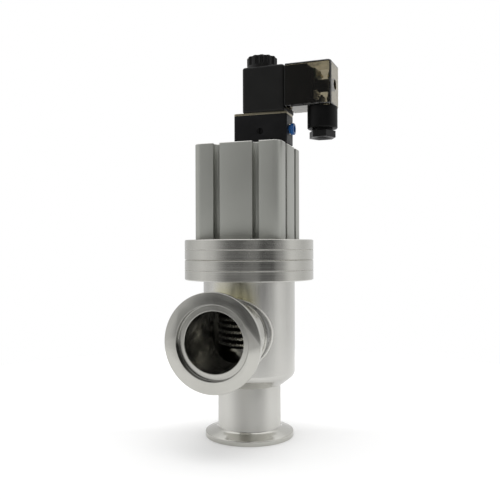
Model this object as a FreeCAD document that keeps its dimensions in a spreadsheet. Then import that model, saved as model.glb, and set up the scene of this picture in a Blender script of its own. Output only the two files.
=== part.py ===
import FreeCAD, Part
import os
import Sketcher

# Electro-pneumatic angle valve for high vacuum, with two 40 mm quick-clamp flanges.
# Millimetres. The origin is the centre of the bottom flange's face and +Z is up along the
# valve's axis. The side port points along -Y and the pilot valve's plug along +X.
# The model stands closed: the spring holds the poppet on its seat.

SIZES = [
    # Welded housing
    ("bore_diameter", 34.0, "flow passage through both ports"),
    ("neck_wall", 2.5, "wall of both necks"),
    ("flange_diameter", 55.0, "quick-clamp flange"),
    ("flange_rim", 3.0, "straight rim of the flange"),
    ("flange_rise", 2.1, "height of the 15 degree clamping taper"),
    ("flange_fillet", 1.0, "step between taper and neck"),
    ("recess_diameter", 41.2, "seat of the centring ring"),
    ("recess_depth", 3.0, "depth of that seat"),
    ("side_reach", 65.0, "valve axis to the side flange's face"),
    ("side_height", 65.7, "bottom flange's face to the side port's axis"),
    ("body_diameter", 57.0, "body tube outside"),
    ("body_wall", 2.0, "body tube wall"),
    ("cone_foot", 32.3, "height of the shoulder's lower edge"),
    ("cone_top", 38.3, "height at which the shoulder's flank meets the body tube"),
    ("cone_foot_radius", 21.0, "radius of the shoulder's lower edge"),
    ("shoulder_round", 5.0, "rounding from the body tube into the shoulder"),
    ("shoulder_foot_round", 4.0, "rounding of the shoulder's lower edge"),
    ("floor_height", 38.6, "inner floor of the body"),
    ("seat_lift", 0.8, "height of the seat ridge over the floor"),
    ("seat_width", 1.6, "width of the seat ridge"),
    ("seat_margin", 0.6, "bore to the seat ridge"),
    ("bead_width", 1.2, "weld bead beside the side neck"),
    ("bead_height", 1.1, "weld bead over the body tube"),
    # Bonnet
    ("bonnet_diameter", 80.2, "both bonnet flanges"),
    ("body_flange_height", 97.0, "underside of the lower bonnet flange"),
    ("bonnet_thickness", 12.3, "thickness of each bonnet flange"),
    ("edge_chamfer", 0.5, "chamfer of the bonnet flanges' edges"),
    ("line_width", 0.6, "turned line round each bonnet flange"),
    ("line_depth", 0.35, "depth of that line"),
    ("weld_socket", 3.0, "depth of the tube's socket in the lower flange"),
    ("ring_section", 2.4, "section of the bonnet seal"),
    ("ring_radius", 28.9, "middle radius of the bonnet seal"),
    ("ring_groove_depth", 2.4, "groove of the bonnet seal"),
    ("bonnet_circle", 67.0, "bolt circle of the bonnet screws"),
    ("bonnet_screw_count", 4, "bonnet screws"),
    ("screw_radius", 2.5, "shank of the M5 screws"),
    ("screw_gap", 0.25, "radial room round a shank"),
    ("screw_head_radius", 4.25, "head of the M5 screws"),
    ("screw_head_height", 5.0, "height of that head"),
    ("head_sink", 0.4, "head below the face round it"),
    ("socket_across", 4.0, "hexagon socket of the M5 screws"),
    ("socket_depth", 2.5, "depth of that socket"),
    ("end_gap", 0.8, "room beyond a screw's end"),
    ("bonnet_grip", 8.0, "thread of the bonnet screws in the lower flange"),
    # Stem, bellows and poppet
    ("stem_radius", 5.0, "stem"),
    ("stem_gap", 0.04, "running room round the stem"),
    ("bush_radius", 8.0, "guide bush outside"),
    ("bush_ledge", 1.5, "ledge that holds the bush"),
    ("bush_length", 5.2, "guide bush"),
    ("lip_length", 3.0, "rod seal"),
    ("bellows_radius", 19.3, "crests of the bellows"),
    ("bellows_root", 14.2, "roots of the bellows"),
    ("bellows_wall", 0.3, "bellows sheet"),
    ("bellows_turns", 14, "convolutions"),
    ("bellows_foot", 56.0, "height of the bellows' lower end"),
    ("collar_radius", 25.0, "upper weld ring of the bellows"),
    ("collar_thickness", 2.5, "thickness of that ring"),
    ("poppet_radius", 21.5, "poppet disc"),
    ("poppet_thickness", 7.0, "poppet disc"),
    ("poppet_hub", 17.0, "hub between disc and bellows"),
    ("poppet_lip", 1.6, "weld lip under the bellows"),
    ("seal_width", 3.0, "width of the poppet's seal"),
    ("seal_depth", 2.6, "depth of the seal's groove"),
    ("seal_proud", 0.5, "how far the seal stands out of the disc"),
    ("seat_gap", 0.05, "seal to seat with the valve closed"),
    # Air cylinder
    ("barrel_width", 54.4, "extrusion along X"),
    ("barrel_depth", 50.4, "extrusion along Y"),
    ("barrel_height", 57.8, "length of the extrusion"),
    ("barrel_corner", 5.0, "corner radius"),
    ("slot_mouth", 3.9, "opening of a sensor slot"),
    ("slot_lip", 1.4, "depth of that opening"),
    ("slot_channel", 5.4, "width of a slot's channel"),
    ("slot_slope", 1.35, "height of the channel's slanted flanks"),
    ("slot_floor", 2.4, "width of the channel's floor"),
    ("slot_spread_x", 24.4, "slot to slot on the front and back"),
    ("slot_spread_y", 21.4, "slot to slot on the sides"),
    ("cylinder_bore", 40.0, "bore of the cylinder"),
    ("ceiling", 8.0, "solid top of the barrel"),
    ("barrel_seal_radius", 22.0, "barrel seal outside"),
    ("barrel_seal_height", 1.6, "barrel seal"),
    ("tie_spread_x", 42.6, "tie screws along X"),
    ("tie_spread_y", 38.6, "tie screws along Y"),
    ("tie_grip", 8.0, "thread of the tie screws in the bonnet"),
    ("duct_radius", 1.2, "air ducts"),
    ("duct_x", 23.7, "upright duct in the barrel's wall"),
    ("duct_depth", 4.0, "cross duct below the barrel's top"),
    ("duct_plug_radius", 2.0, "plug of the cross duct"),
    ("duct_plug_length", 3.0, "plug of the cross duct"),
    ("breather_radius", 1.5, "breather hole at the back"),
    ("piston_gap", 0.1, "radial room round the piston"),
    ("piston_rest", 0.8, "piston over the bonnet with the valve closed"),
    ("piston_floor", 8.0, "floor of the piston's cup"),
    ("piston_skirt", 14.0, "height of the piston"),
    ("cup_radius", 15.4, "spring cup in the piston"),
    ("piston_seal_depth", 2.4, "groove of the piston seal"),
    ("piston_seal_height", 3.0, "piston seal"),
    ("magnet_depth", 2.8, "groove of the magnet ring"),
    ("magnet_height", 3.0, "magnet ring"),
    ("stem_thread_radius", 4.0, "stem through the piston"),
    ("nut_across", 13.0, "piston nut across flats"),
    ("nut_height", 5.0, "piston nut"),
    ("spring_radius", 12.6, "return spring, middle of the wire"),
    ("spring_wire", 2.4, "return spring's wire"),
    ("stroke", 14.0, "lift of the poppet, up to the stop under the ceiling"),
    ("stop_radius", 6.0, "stop under the ceiling"),
    # Pilot valve
    ("tube_x", 8.9, "axis of the armature tube along X"),
    ("base_left", 15.3, "tube's axis to the base's left side"),
    ("base_right", 18.15, "tube's axis to the base's right side"),
    ("base_front", 10.0, "tube's axis to the base's front"),
    ("base_back", 6.5, "tube's axis to the base's back"),
    ("base_height", 17.6, "base"),
    ("base_edge", 1.5, "rounding of the base's upright edges"),
    ("gasket_thickness", 0.4, "gasket under the base"),
    ("plate_thickness", 1.3, "plate that holds the armature tube"),
    ("pilot_screw_radius", 1.25, "M2.5 screws"),
    ("pilot_head_radius", 2.35, "countersunk M2.5 head"),
    ("cross_reach", 1.3, "arm of a screw's cross recess"),
    ("cross_width", 0.7, "arm of a screw's cross recess"),
    ("cross_depth", 0.8, "cross recess"),
    ("pilot_grip", 6.0, "thread of the M2.5 screws in the barrel"),
    ("pilot_screw_left", 12.0, "tube's axis to the left screws"),
    ("pilot_screw_right", 10.6, "tube's axis to the right screws"),
    ("pilot_screw_front", 7.4, "tube's axis to the front screws"),
    ("pilot_screw_back", 4.0, "tube's axis to the back screws"),
    ("armature_radius", 4.4, "armature tube outside"),
    ("armature_wall", 0.5, "armature tube's wall"),
    ("armature_length", 34.6, "armature tube over the plate"),
    ("armature_flange", 6.2, "flange of the tube under the plate"),
    ("armature_flange_height", 1.0, "that flange"),
    ("core_length", 17.0, "fixed core in the tube's top"),
    ("tube_seal_section", 1.2, "seal under the tube's flange"),
    ("plunger_gap", 0.06, "running room round the plunger"),
    ("plunger_length", 17.0, "plunger"),
    ("plunger_lift", 0.9, "travel of the plunger"),
    ("nozzle_radius", 1.6, "nozzle that the plunger closes"),
    ("nozzle_height", 1.2, "nozzle over its cavity's floor"),
    ("nozzle_bore", 0.7, "hole in the nozzle"),
    ("cavity_depth", 4.6, "cavity under the armature tube"),
    ("pad_radius", 2.2, "rubber pad of the plunger"),
    ("pad_height", 1.6, "rubber pad of the plunger"),
    ("pad_proud", 0.4, "how far the pad stands out of the plunger"),
    ("plunger_spring_radius", 1.9, "plunger spring outside"),
    ("plunger_spring_wire", 0.6, "plunger spring's wire"),
    ("plunger_spring_seat", 3.6, "depth of the spring's hole in the plunger"),
    ("coil_turn", -3.0, "degrees that coil and plug are turned about the tube"),
    ("coil_left", 9.3, "tube's axis to the coil's left side"),
    ("coil_right", 17.5, "tube's axis to the plug's side of the coil"),
    ("coil_depth", 22.0, "coil along Y"),
    ("coil_height", 27.9, "coil"),
    ("coil_edge", 2.2, "rounding of the coil's upright edges"),
    ("coil_rim", 1.4, "rounding of the coil's upper and lower edges"),
    ("coil_gap", 0.15, "coil round the armature tube"),
    ("coil_nut_radius", 9.3, "knurled nut"),
    ("coil_nut_height", 7.7, "knurled nut"),
    ("coil_nut_skirt", 2.1, "plain skirt under the knurls"),
    ("knurl_count", 12, "flutes of the nut"),
    ("knurl_radius", 2.1, "radius of a flute"),
    ("knurl_bite", 1.4, "depth of a flute"),
    # Plug
    ("blade_width", 6.3, "terminal blades"),
    ("blade_thickness", 0.8, "terminal blades"),
    ("blade_length", 8.0, "terminal blades beyond the coil"),
    ("blade_spread", 11.0, "blade to blade"),
    ("blade_lift", 1.2, "blades over the plug's middle"),
    ("plug_gasket", 0.8, "flat gasket between coil and plug"),
    ("plug_length", 27.8, "plug beyond its gasket"),
    ("plug_front", 10.9, "tube's axis to the plug's front"),
    ("plug_back", 10.2, "tube's axis to the plug's back"),
    ("plug_foot", 1.9, "plug's underside over the coil's"),
    ("plug_height", 26.0, "plug"),
    ("plug_wall", 1.1, "wall of the clear housing"),
    ("plug_edge", 2.4, "rounding of its end's upright edges"),
    ("plug_rim", 1.2, "rounding of its long edges"),
    ("insert_gap", 0.15, "insert in the clear housing"),
    ("insert_length", 13.4, "terminal insert"),
    ("shelf_length", 3.3, "terminal shelf beyond the insert"),
    ("shelf_foot", 3.6, "shelf over the plug's underside"),
    ("shelf_drop", 3.9, "shelf under the plug's top"),
    ("board_thickness", 1.2, "circuit board"),
    ("board_width", 14.0, "circuit board"),
    ("plug_screw_radius", 1.5, "plug's screw"),
    ("tunnel_radius", 3.7, "screw's tunnel from the insert to the plug's end"),
    ("plug_head_radius", 2.65, "head of the plug's screw"),
    ("plug_head_height", 2.4, "head of the plug's screw"),
    ("plug_head_sink", 3.0, "head below the plug's end"),
    ("plug_recess_radius", 3.0, "hole over that head"),
    ("plug_screw_grip", 4.0, "thread of the plug's screw in the coil"),
    ("gland_setback", 7.7, "plug's end to the gland's axis"),
    ("gland_radius", 9.0, "gland body"),
    ("gland_wall", 1.2, "wall of the gland's neck"),
    ("gland_height", 12.8, "gland body below the plug"),
    ("gland_neck_radius", 6.2, "threaded neck of the gland"),
    ("gland_neck_height", 3.6, "that neck"),
    ("gland_nut_across", 13.9, "gland nut across flats"),
    ("gland_nut_height", 3.9, "gland nut"),
    ("gland_nut_skip", 1.6, "bare neck over the nut"),
    ("gland_mouth", 6.2, "mouth of the gland nut"),
    ("gland_mouth_depth", 1.2, "depth of the cone in that mouth"),
    ("gland_hole", 4.0, "cable hole's radius"),
    ("thread_gap", 0.1, "room in the gland's and the tube's threads"),
    # Push-in fitting and manual override
    ("fitting_y", -1.75, "fitting's axis along Y"),
    ("fitting_height", 9.5, "fitting's axis over the barrel"),
    ("fitting_radius", 3.3, "fitting's body"),
    ("fitting_length", 12.0, "fitting's body"),
    ("hose_diameter", 4.0, "air hose"),
    ("hose_gap", 0.08, "radial room round the hose"),
    ("hose_depth", 13.0, "depth to which the hose goes in"),
    ("fitting_seal_length", 1.6, "hose seal"),
    ("release_radius", 3.5, "release ring's head"),
    ("release_head", 1.8, "thickness of that head"),
    ("release_stand", 1.15, "head clear of the fitting at rest"),
    ("release_sleeve", 2.75, "release ring's sleeve outside"),
    ("release_length", 5.0, "release ring's sleeve in the fitting"),
    ("release_travel", 1.0, "push that frees the hose"),
    ("release_gap", 0.06, "running room round the sleeve"),
    ("override_x", 10.4, "override screw's axis along X"),
    ("override_height", 8.0, "override screw's axis over the barrel"),
    ("override_radius", 1.9, "override screw"),
    ("override_length", 4.0, "override screw"),
    ("override_gap", 0.06, "running room round the override screw"),
    ("override_slot", 0.8, "screwdriver slot"),
    ("override_slot_depth", 0.9, "screwdriver slot"),
]

X_AXIS = FreeCAD.Vector(1, 0, 0)
Y_AXIS = FreeCAD.Vector(0, 1, 0)
Z_AXIS = FreeCAD.Vector(0, 0, 1)


# Lengths that know both their number and their expression in the sheet

class Length:
    def __init__(self, text, value):
        self.text = text
        self.value = value

    def __add__(self, other):
        other = length(other)
        return Length(f"({self.text} + {other.text})", self.value + other.value)

    def __sub__(self, other):
        other = length(other)
        return Length(f"({self.text} - {other.text})", self.value - other.value)

    def __mul__(self, factor):
        return Length(f"({self.text} * {factor})", self.value * factor)

    def __truediv__(self, divisor):
        return Length(f"({self.text} / {divisor})", self.value / divisor)

    def __neg__(self):
        return Length(f"(0 - {self.text})", -self.value)


def length(number):
    if isinstance(number, Length):
        return number
    return Length(f"({number})", float(number))


class Sizes:
    pass


def make_sheet(doc):
    sheet = doc.addObject("Spreadsheet::Sheet", "Sizes")
    sizes = Sizes()
    for row, (name, value, meaning) in enumerate(SIZES, start=1):
        sheet.set(f"A{row}", meaning)
        sheet.set(f"B{row}", str(value))
        sheet.setAlias(f"B{row}", name)
        setattr(sizes, name, Length(f"Sizes.{name}", float(value)))
    doc.recompute()
    return sizes


# Sketches and features

def new_body(doc, name, placement=None):
    body = doc.addObject("PartDesign::Body", name)
    body.Label = name
    body.Placement = placement or FreeCAD.Placement()
    return body


def sketch_on(body, role, offset=None):
    sketch = body.newObject("Sketcher::SketchObject", f"{body.Name}_sketch")
    plane = [item for item in body.Origin.OriginFeatures if item.Role == role][0]
    sketch.AttachmentSupport = [(plane, "")]
    sketch.MapMode = "FlatFace"
    if offset is not None:
        sketch.setExpression("AttachmentOffset.Base.z", offset.text)
    return sketch


def bind(sketch, kind, geometry, point, size):
    if kind == "Radius":
        constraint = Sketcher.Constraint(kind, geometry, size.value)
    else:
        constraint = Sketcher.Constraint(kind, -1, 1, geometry, point, size.value)
    index = sketch.addConstraint(constraint)
    sketch.setExpression(f"Constraints[{index}]", size.text)


def polygon(sketch, points):
    """A closed outline of straight lines, each corner held by its two coordinates."""
    corners = [(length(across), length(along)) for across, along in points]
    first = sketch.GeometryCount
    count = len(corners)
    for index in range(count):
        start = corners[index]
        end = corners[(index + 1) % count]
        sketch.addGeometry(Part.LineSegment(
            FreeCAD.Vector(start[0].value, start[1].value, 0),
            FreeCAD.Vector(end[0].value, end[1].value, 0)))
    for index in range(count):
        following = first + (index + 1) % count
        sketch.addConstraint(Sketcher.Constraint("Coincident", first + index, 2, following, 1))
    for index, (across, along) in enumerate(corners):
        bind(sketch, "DistanceX", first + index, 1, across)
        bind(sketch, "DistanceY", first + index, 1, along)


def circle(sketch, across, along, radius):
    across, along = length(across), length(along)
    centre = FreeCAD.Vector(across.value, along.value, 0)
    index = sketch.addGeometry(Part.Circle(centre, FreeCAD.Vector(0, 0, 1), radius.value))
    bind(sketch, "DistanceX", index, 3, across)
    bind(sketch, "DistanceY", index, 3, along)
    bind(sketch, "Radius", index, 0, radius)


def rectangle(left, right, low, high):
    return [(left, low), (right, low), (right, high), (left, high)]


def revolve(body, points):
    """Turns a half section of (radius, height) corners about the body's own Z axis."""
    sketch = sketch_on(body, "XZ_Plane")
    polygon(sketch, points)
    feature = body.newObject("PartDesign::Revolution", f"{body.Name}_turned")
    feature.Profile = sketch
    feature.ReferenceAxis = (sketch, ["V_Axis"])
    feature.Angle = 360
    return feature


def pad(body, sketch, height):
    feature = body.newObject("PartDesign::Pad", f"{body.Name}_pad")
    feature.Profile = sketch
    feature.setExpression("Length", length(height).text)
    return feature


def cut(body, sketch, depth, downwards=False):
    """Cuts a sketch's area, upwards from its plane unless it says downwards."""
    feature = body.newObject("PartDesign::Pocket", f"{body.Name}_cut")
    feature.Profile = sketch
    feature.setExpression("Length", length(depth).text)
    feature.Reversed = not downwards
    return feature


def bore(body, radius, depth, place, direction=Z_AXIS):
    """Removes a cylinder that starts at a place and runs along a direction."""
    feature = body.newObject("PartDesign::SubtractiveCylinder", f"{body.Name}_bore")
    return place_cylinder(feature, radius, depth, place, direction)


def boss(body, radius, height, place, direction=Z_AXIS):
    """Adds a cylinder that starts at a place and runs along a direction."""
    feature = body.newObject("PartDesign::AdditiveCylinder", f"{body.Name}_boss")
    return place_cylinder(feature, radius, height, place, direction)


def place_cylinder(feature, radius, height, place, direction):
    feature.setExpression("Radius", length(radius).text)
    feature.setExpression("Height", length(height).text)
    feature.Placement = FreeCAD.Placement(FreeCAD.Vector(), FreeCAD.Rotation(Z_AXIS, direction))
    for axis, size in zip("xyz", place):
        feature.setExpression(f"Placement.Base.{axis}", length(size).text)
    return feature


def edges_where(shape, wanted):
    return [f"Edge{index}" for index, edge in enumerate(shape.Edges, start=1) if wanted(edge)]


def upright(edge):
    ends = [vertex.Point for vertex in edge.Vertexes]
    return len(ends) == 2 and (ends[0] - ends[1]).cross(Z_AXIS).Length < 1e-6


def round_edges(body, radius, wanted, kind="Fillet"):
    """Rounds or chamfers the chosen edges of the body's last feature."""
    body.Document.recompute()
    base = body.Tip
    feature = body.newObject(f"PartDesign::{kind}", f"{body.Name}_{kind.lower()}")
    feature.Base = (base, edges_where(base.Shape, wanted))
    feature.setExpression("Radius" if kind == "Fillet" else "Size", radius.text)
    return feature


def grouped(doc, name, body, places):
    """One node of like solids: the body, linked once at each place."""
    links = []
    for index, place in enumerate(places, start=1):
        link = doc.addObject("App::Link", f"{name}_{index}")
        link.LinkedObject = body
        link.LinkPlacement = FreeCAD.Placement(FreeCAD.Vector(), FreeCAD.Rotation())
        for axis, size in zip("xyz", place):
            link.setExpression(f"LinkPlacement.Base.{axis}", length(size).text)
        links.append(link)
    group = doc.addObject("Part::Compound", name)
    group.Label = name
    group.Links = links
    return group


# Heights and radii that several pieces share

def shared(s):
    s.bore_radius = s.bore_diameter / 2
    s.neck_radius = s.bore_radius + s.neck_wall
    s.body_radius = s.body_diameter / 2
    s.body_bore = s.body_radius - s.body_wall
    s.seat_height = s.floor_height + s.seat_lift
    s.seat_inner = s.bore_radius + s.seat_margin
    s.joint_height = s.body_flange_height + s.bonnet_thickness
    s.bonnet_top = s.joint_height + s.bonnet_thickness
    s.bonnet_radius = s.bonnet_diameter / 2
    s.barrel_top = s.bonnet_top + s.barrel_height
    s.ceiling_height = s.barrel_top - s.ceiling
    s.piston_low = s.bonnet_top + s.piston_rest
    s.cup_floor = s.piston_low + s.piston_floor
    s.poppet_low = s.seat_height + s.seat_gap + s.seal_proud
    s.stem_end = s.cup_floor + s.nut_height + s.edge_chamfer
    s.bellows_top = s.joint_height
    s.base_low = s.barrel_top + s.gasket_thickness
    s.base_top = s.base_low + s.base_height
    s.plate_top = s.base_top + s.plate_thickness
    s.coil_low = s.plate_top
    s.coil_top = s.coil_low + s.coil_height
    s.plug_low = s.coil_low + s.plug_foot
    s.plug_top = s.plug_low + s.plug_height
    s.plug_middle = s.plug_low + s.plug_height / 2
    s.plug_start = s.coil_right + s.plug_gasket
    s.plug_end = s.plug_start + s.plug_length
    s.insert_end = s.plug_start + s.insert_length
    s.shelf_end = s.insert_end + s.shelf_length
    s.tunnel_end = s.plug_end - s.plug_wall - s.insert_gap
    s.plug_screw_room = s.plug_screw_radius + s.screw_gap
    s.gland_x = s.plug_end - s.gland_setback
    s.gland_low = s.plug_low - s.gland_height
    s.neck_low = s.gland_low - s.gland_neck_height
    s.cavity_floor = s.base_top - s.cavity_depth
    s.pad_low = s.cavity_floor + s.nozzle_height + s.seat_gap
    s.core_low = s.plate_top + s.armature_length - s.core_length
    s.tube_bore = s.armature_radius - s.armature_wall
    s.fitting_z = s.barrel_top + s.fitting_height
    s.base_right_x = s.tube_x + s.base_right
    s.override_z = s.barrel_top + s.override_height
    s.hose_hole = s.hose_diameter / 2 + s.hose_gap
    s.bonnet_hole = s.screw_radius + s.screw_gap
    s.head_room = s.screw_head_radius + s.screw_gap
    s.head_depth = s.screw_head_height + s.head_sink


# Welded housing

def clamp_flange(s):
    """Half section of a quick-clamp flange, from its face up to the neck's outside."""
    flange_radius = s.flange_diameter / 2
    recess_radius = s.recess_diameter / 2
    taper_top = s.flange_rim + s.flange_rise
    return [
        (s.bore_radius, s.recess_depth),
        (recess_radius, s.recess_depth),
        (recess_radius, 0),
        (flange_radius, 0),
        (flange_radius, s.flange_rim),
        (s.neck_radius + s.flange_fillet, taper_top),
        (s.neck_radius, taper_top + s.flange_fillet),
    ]


def bottom_port(doc, s):
    body = new_body(doc, "bottom_port")
    revolve(body, clamp_flange(s) + [(s.neck_radius, s.cone_foot), (s.bore_radius, s.cone_foot)])
    return body


def side_port(doc, s):
    """Neck, flange and weld bead, coped where they meet the body tube."""
    place = FreeCAD.Placement(FreeCAD.Vector(), FreeCAD.Rotation(X_AXIS, -90))
    body = new_body(doc, "side_port", place)
    body.setExpression("Placement.Base.y", (-s.side_reach).text)
    body.setExpression("Placement.Base.z", s.side_height.text)
    revolve(body, clamp_flange(s) + [
        (s.neck_radius, s.side_reach - s.body_radius - s.bead_height),
        (s.neck_radius + s.bead_width, s.side_reach - s.body_radius - s.bead_height),
        (s.neck_radius + s.bead_width, s.side_reach),
        (s.bore_radius, s.side_reach),
    ])
    sketch = sketch_on(body, "XZ_Plane")
    circle(sketch, 0, s.side_reach, s.body_radius)
    feature = body.newObject("PartDesign::Pocket", "side_port_cope")
    feature.Profile = sketch
    feature.Midplane = True
    feature.setExpression("Length", s.body_diameter.text)
    return body


def body_shell(doc, s):
    """Body tube with its formed shoulder, floor and seat ridge, bored for the side port."""
    body = new_body(doc, "body_shell")
    seat_outer = s.seat_inner + s.seat_width
    revolve(body, [
        (s.bore_radius, s.cone_foot),
        (s.cone_foot_radius, s.cone_foot),
        (s.body_radius, s.cone_top),
        (s.body_radius, s.body_flange_height + s.weld_socket),
        (s.body_bore, s.body_flange_height + s.weld_socket),
        (s.body_bore, s.floor_height),
        (seat_outer, s.floor_height),
        (seat_outer, s.seat_height),
        (s.seat_inner, s.seat_height),
        (s.seat_inner, s.floor_height),
        (s.bore_radius, s.floor_height),
    ])
    round_edges(body, s.shoulder_round, lambda edge: is_ring(edge, s.body_radius, s.cone_top))
    round_edges(body, s.shoulder_foot_round,
                lambda edge: is_ring(edge, s.cone_foot_radius, s.cone_foot))
    bore(body, s.bore_radius, s.body_diameter, (0, 0, s.side_height), -Y_AXIS)
    return body


def is_ring(edge, radius, height):
    """Whether an edge is the circle of this radius at this height."""
    curve = edge.Curve
    return (isinstance(curve, Part.Circle) and abs(curve.Radius - radius.value) < 1e-6
            and abs(curve.Center.z - height.value) < 1e-6)


def bonnet_ring(s, low, high, inner):
    """Half section of a bonnet flange with chamfered edges and its turned line."""
    edge = s.bonnet_radius
    middle = (low + high) / 2
    half = s.line_width / 2
    return [
        (inner, low),
        (edge - s.edge_chamfer, low),
        (edge, low + s.edge_chamfer),
        (edge, middle - half),
        (edge - s.line_depth, middle),
        (edge, middle + half),
        (edge, high - s.edge_chamfer),
        (edge - s.edge_chamfer, high),
        (inner, high),
    ]


def body_flange(doc, s):
    """Lower bonnet flange, welded on the body tube, with the seal's groove."""
    body = new_body(doc, "body_flange")
    ring = bonnet_ring(s, s.body_flange_height, s.joint_height, s.body_radius)
    socket_top = s.body_flange_height + s.weld_socket
    groove_inner = s.ring_radius - s.ring_section / 2
    groove_outer = s.ring_radius + s.ring_section / 2
    groove_floor = s.joint_height - s.ring_groove_depth
    inside = [
        (groove_outer, s.joint_height),
        (groove_outer, groove_floor),
        (groove_inner, groove_floor),
        (groove_inner, s.joint_height),
        (s.body_bore, s.joint_height),
        (s.body_bore, socket_top),
        (s.body_radius, socket_top),
    ]
    revolve(body, ring[:-1] + inside)
    for x, y in circle_places(s):
        bore(body, s.screw_radius, s.bonnet_grip, (x, y, s.joint_height), -Z_AXIS)
    return body


def circle_places(s):
    """Four places on the bolt circle, on the X and Y axes."""
    reach = s.bonnet_circle / 2
    return [(reach, 0), (0, reach), (-reach, 0), (0, -reach)]


def tie_places(s):
    half_x = s.tie_spread_x / 2
    half_y = s.tie_spread_y / 2
    return [(half_x, half_y), (-half_x, half_y), (-half_x, -half_y), (half_x, -half_y)]


def bonnet_flange(doc, s):
    """Upper bonnet flange: bore for bush and rod seal, recess for the bellows' ring."""
    body = new_body(doc, "bonnet_flange")
    ring = bonnet_ring(s, s.joint_height, s.bonnet_top, s.collar_radius)
    recess_top = s.joint_height + s.collar_thickness
    stem_room = s.stem_radius + s.screw_gap
    inside = [
        (s.bush_radius, s.bonnet_top),
        (s.bush_radius, recess_top + s.bush_ledge),
        (stem_room, recess_top + s.bush_ledge),
        (stem_room, recess_top),
        (s.collar_radius, recess_top),
    ]
    revolve(body, ring[:-1] + inside)
    for x, y in circle_places(s):
        bore(body, s.bonnet_hole, s.bonnet_thickness, (x, y, s.joint_height))
        bore(body, s.head_room, s.head_depth, (x, y, s.bonnet_top), -Z_AXIS)
    for x, y in tie_places(s):
        bore(body, s.screw_radius, s.tie_grip, (x, y, s.bonnet_top), -Z_AXIS)
    return body


def ring_body(doc, name, inner, outer, low, high, place=None):
    body = new_body(doc, name, place)
    revolve(body, rectangle(inner, outer, low, high))
    return body


def socket_screw(doc, name, s, shank):
    """M5 socket screw, its head's underside at the body's origin."""
    body = new_body(doc, name)
    revolve(body, [
        (0, -shank),
        (s.screw_radius, -shank),
        (s.screw_radius, 0),
        (s.screw_head_radius, 0),
        (s.screw_head_radius, s.screw_head_height),
        (0, s.screw_head_height),
    ])
    sketch = sketch_on(body, "XY_Plane", s.screw_head_height)
    hexagon(sketch, s.socket_across)
    cut(body, sketch, s.socket_depth, downwards=True)
    return body


def hexagon(sketch, across):
    """A hexagon with two flats along X, from its width across flats."""
    side = across / 3 ** 0.5
    half = across / 2
    polygon(sketch, [
        (side / 2, -half), (side, 0), (side / 2, half),
        (-side / 2, half), (-side, 0), (-side / 2, -half),
    ])


def screws(doc, s):
    bonnet_shank = s.bonnet_thickness - s.head_depth + s.bonnet_grip - s.end_gap
    bonnet_screw = socket_screw(doc, "bonnet_screw", s, bonnet_shank)
    bonnet_seat = s.bonnet_top - s.head_depth
    places = [(x, y, bonnet_seat) for x, y in circle_places(s)]
    bonnet_group = grouped(doc, "bonnet_screws", bonnet_screw, places)
    tie_shank = s.barrel_height - s.head_depth + s.tie_grip - s.end_gap
    tie_screw = socket_screw(doc, "tie_screw", s, tie_shank)
    tie_seat = s.barrel_top - s.head_depth
    tie_group = grouped(doc, "tie_screws", tie_screw, [(x, y, tie_seat) for x, y in tie_places(s)])
    return [bonnet_group, tie_group]


# Stem, bellows and poppet

def bellows(doc, s):
    """Welded bellows: straight cones from root to crest, one sheet thick."""
    body = new_body(doc, "bellows")
    turns = int(s.bellows_turns.value)
    pitch = (s.bellows_top - s.bellows_foot) / turns
    sheet = s.bellows_wall
    outside = [(s.bellows_root + sheet, s.bellows_foot)]
    inside = [(s.bellows_root, s.bellows_foot)]
    for turn in range(turns):
        crest = s.bellows_foot + pitch * (turn + 0.5)
        root = s.bellows_foot + pitch * (turn + 1)
        outside += [(s.bellows_radius, crest), (s.bellows_root + sheet, root)]
        inside += [(s.bellows_radius - sheet, crest), (s.bellows_root, root)]
    revolve(body, outside + inside[::-1])
    return body


def poppet_disc(doc, s):
    body = new_body(doc, "poppet_disc")
    disc_top = s.poppet_low + s.poppet_thickness
    lip_low = s.bellows_foot - s.poppet_lip
    seal_inner = s.seat_inner + s.seat_width / 2 - s.seal_width / 2
    seal_outer = seal_inner + s.seal_width
    groove_top = s.poppet_low + s.seal_depth
    revolve(body, [
        (0, s.poppet_low),
        (seal_inner, s.poppet_low),
        (seal_inner, groove_top),
        (seal_outer, groove_top),
        (seal_outer, s.poppet_low),
        (s.poppet_radius - s.edge_chamfer, s.poppet_low),
        (s.poppet_radius, s.poppet_low + s.edge_chamfer),
        (s.poppet_radius, disc_top),
        (s.poppet_hub, disc_top),
        (s.poppet_hub, lip_low),
        (s.bellows_radius, lip_low),
        (s.bellows_radius, s.bellows_foot),
        (s.stem_radius, s.bellows_foot),
        (s.stem_radius, disc_top),
        (0, disc_top),
    ])
    return body


def poppet_seal(doc, s):
    inner = s.seat_inner + s.seat_width / 2 - s.seal_width / 2
    low = s.poppet_low - s.seal_proud
    return ring_body(doc, "poppet_seal", inner, inner + s.seal_width, low, s.poppet_low + s.seal_depth)


def stem(doc, s):
    body = new_body(doc, "stem")
    foot = s.poppet_low + s.poppet_thickness
    end = s.stem_end
    revolve(body, [
        (0, foot),
        (s.stem_radius, foot),
        (s.stem_radius, s.piston_low),
        (s.stem_thread_radius, s.piston_low),
        (s.stem_thread_radius, end - s.edge_chamfer),
        (s.stem_thread_radius - s.edge_chamfer, end),
        (0, end),
    ])
    return body


# Air cylinder

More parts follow.
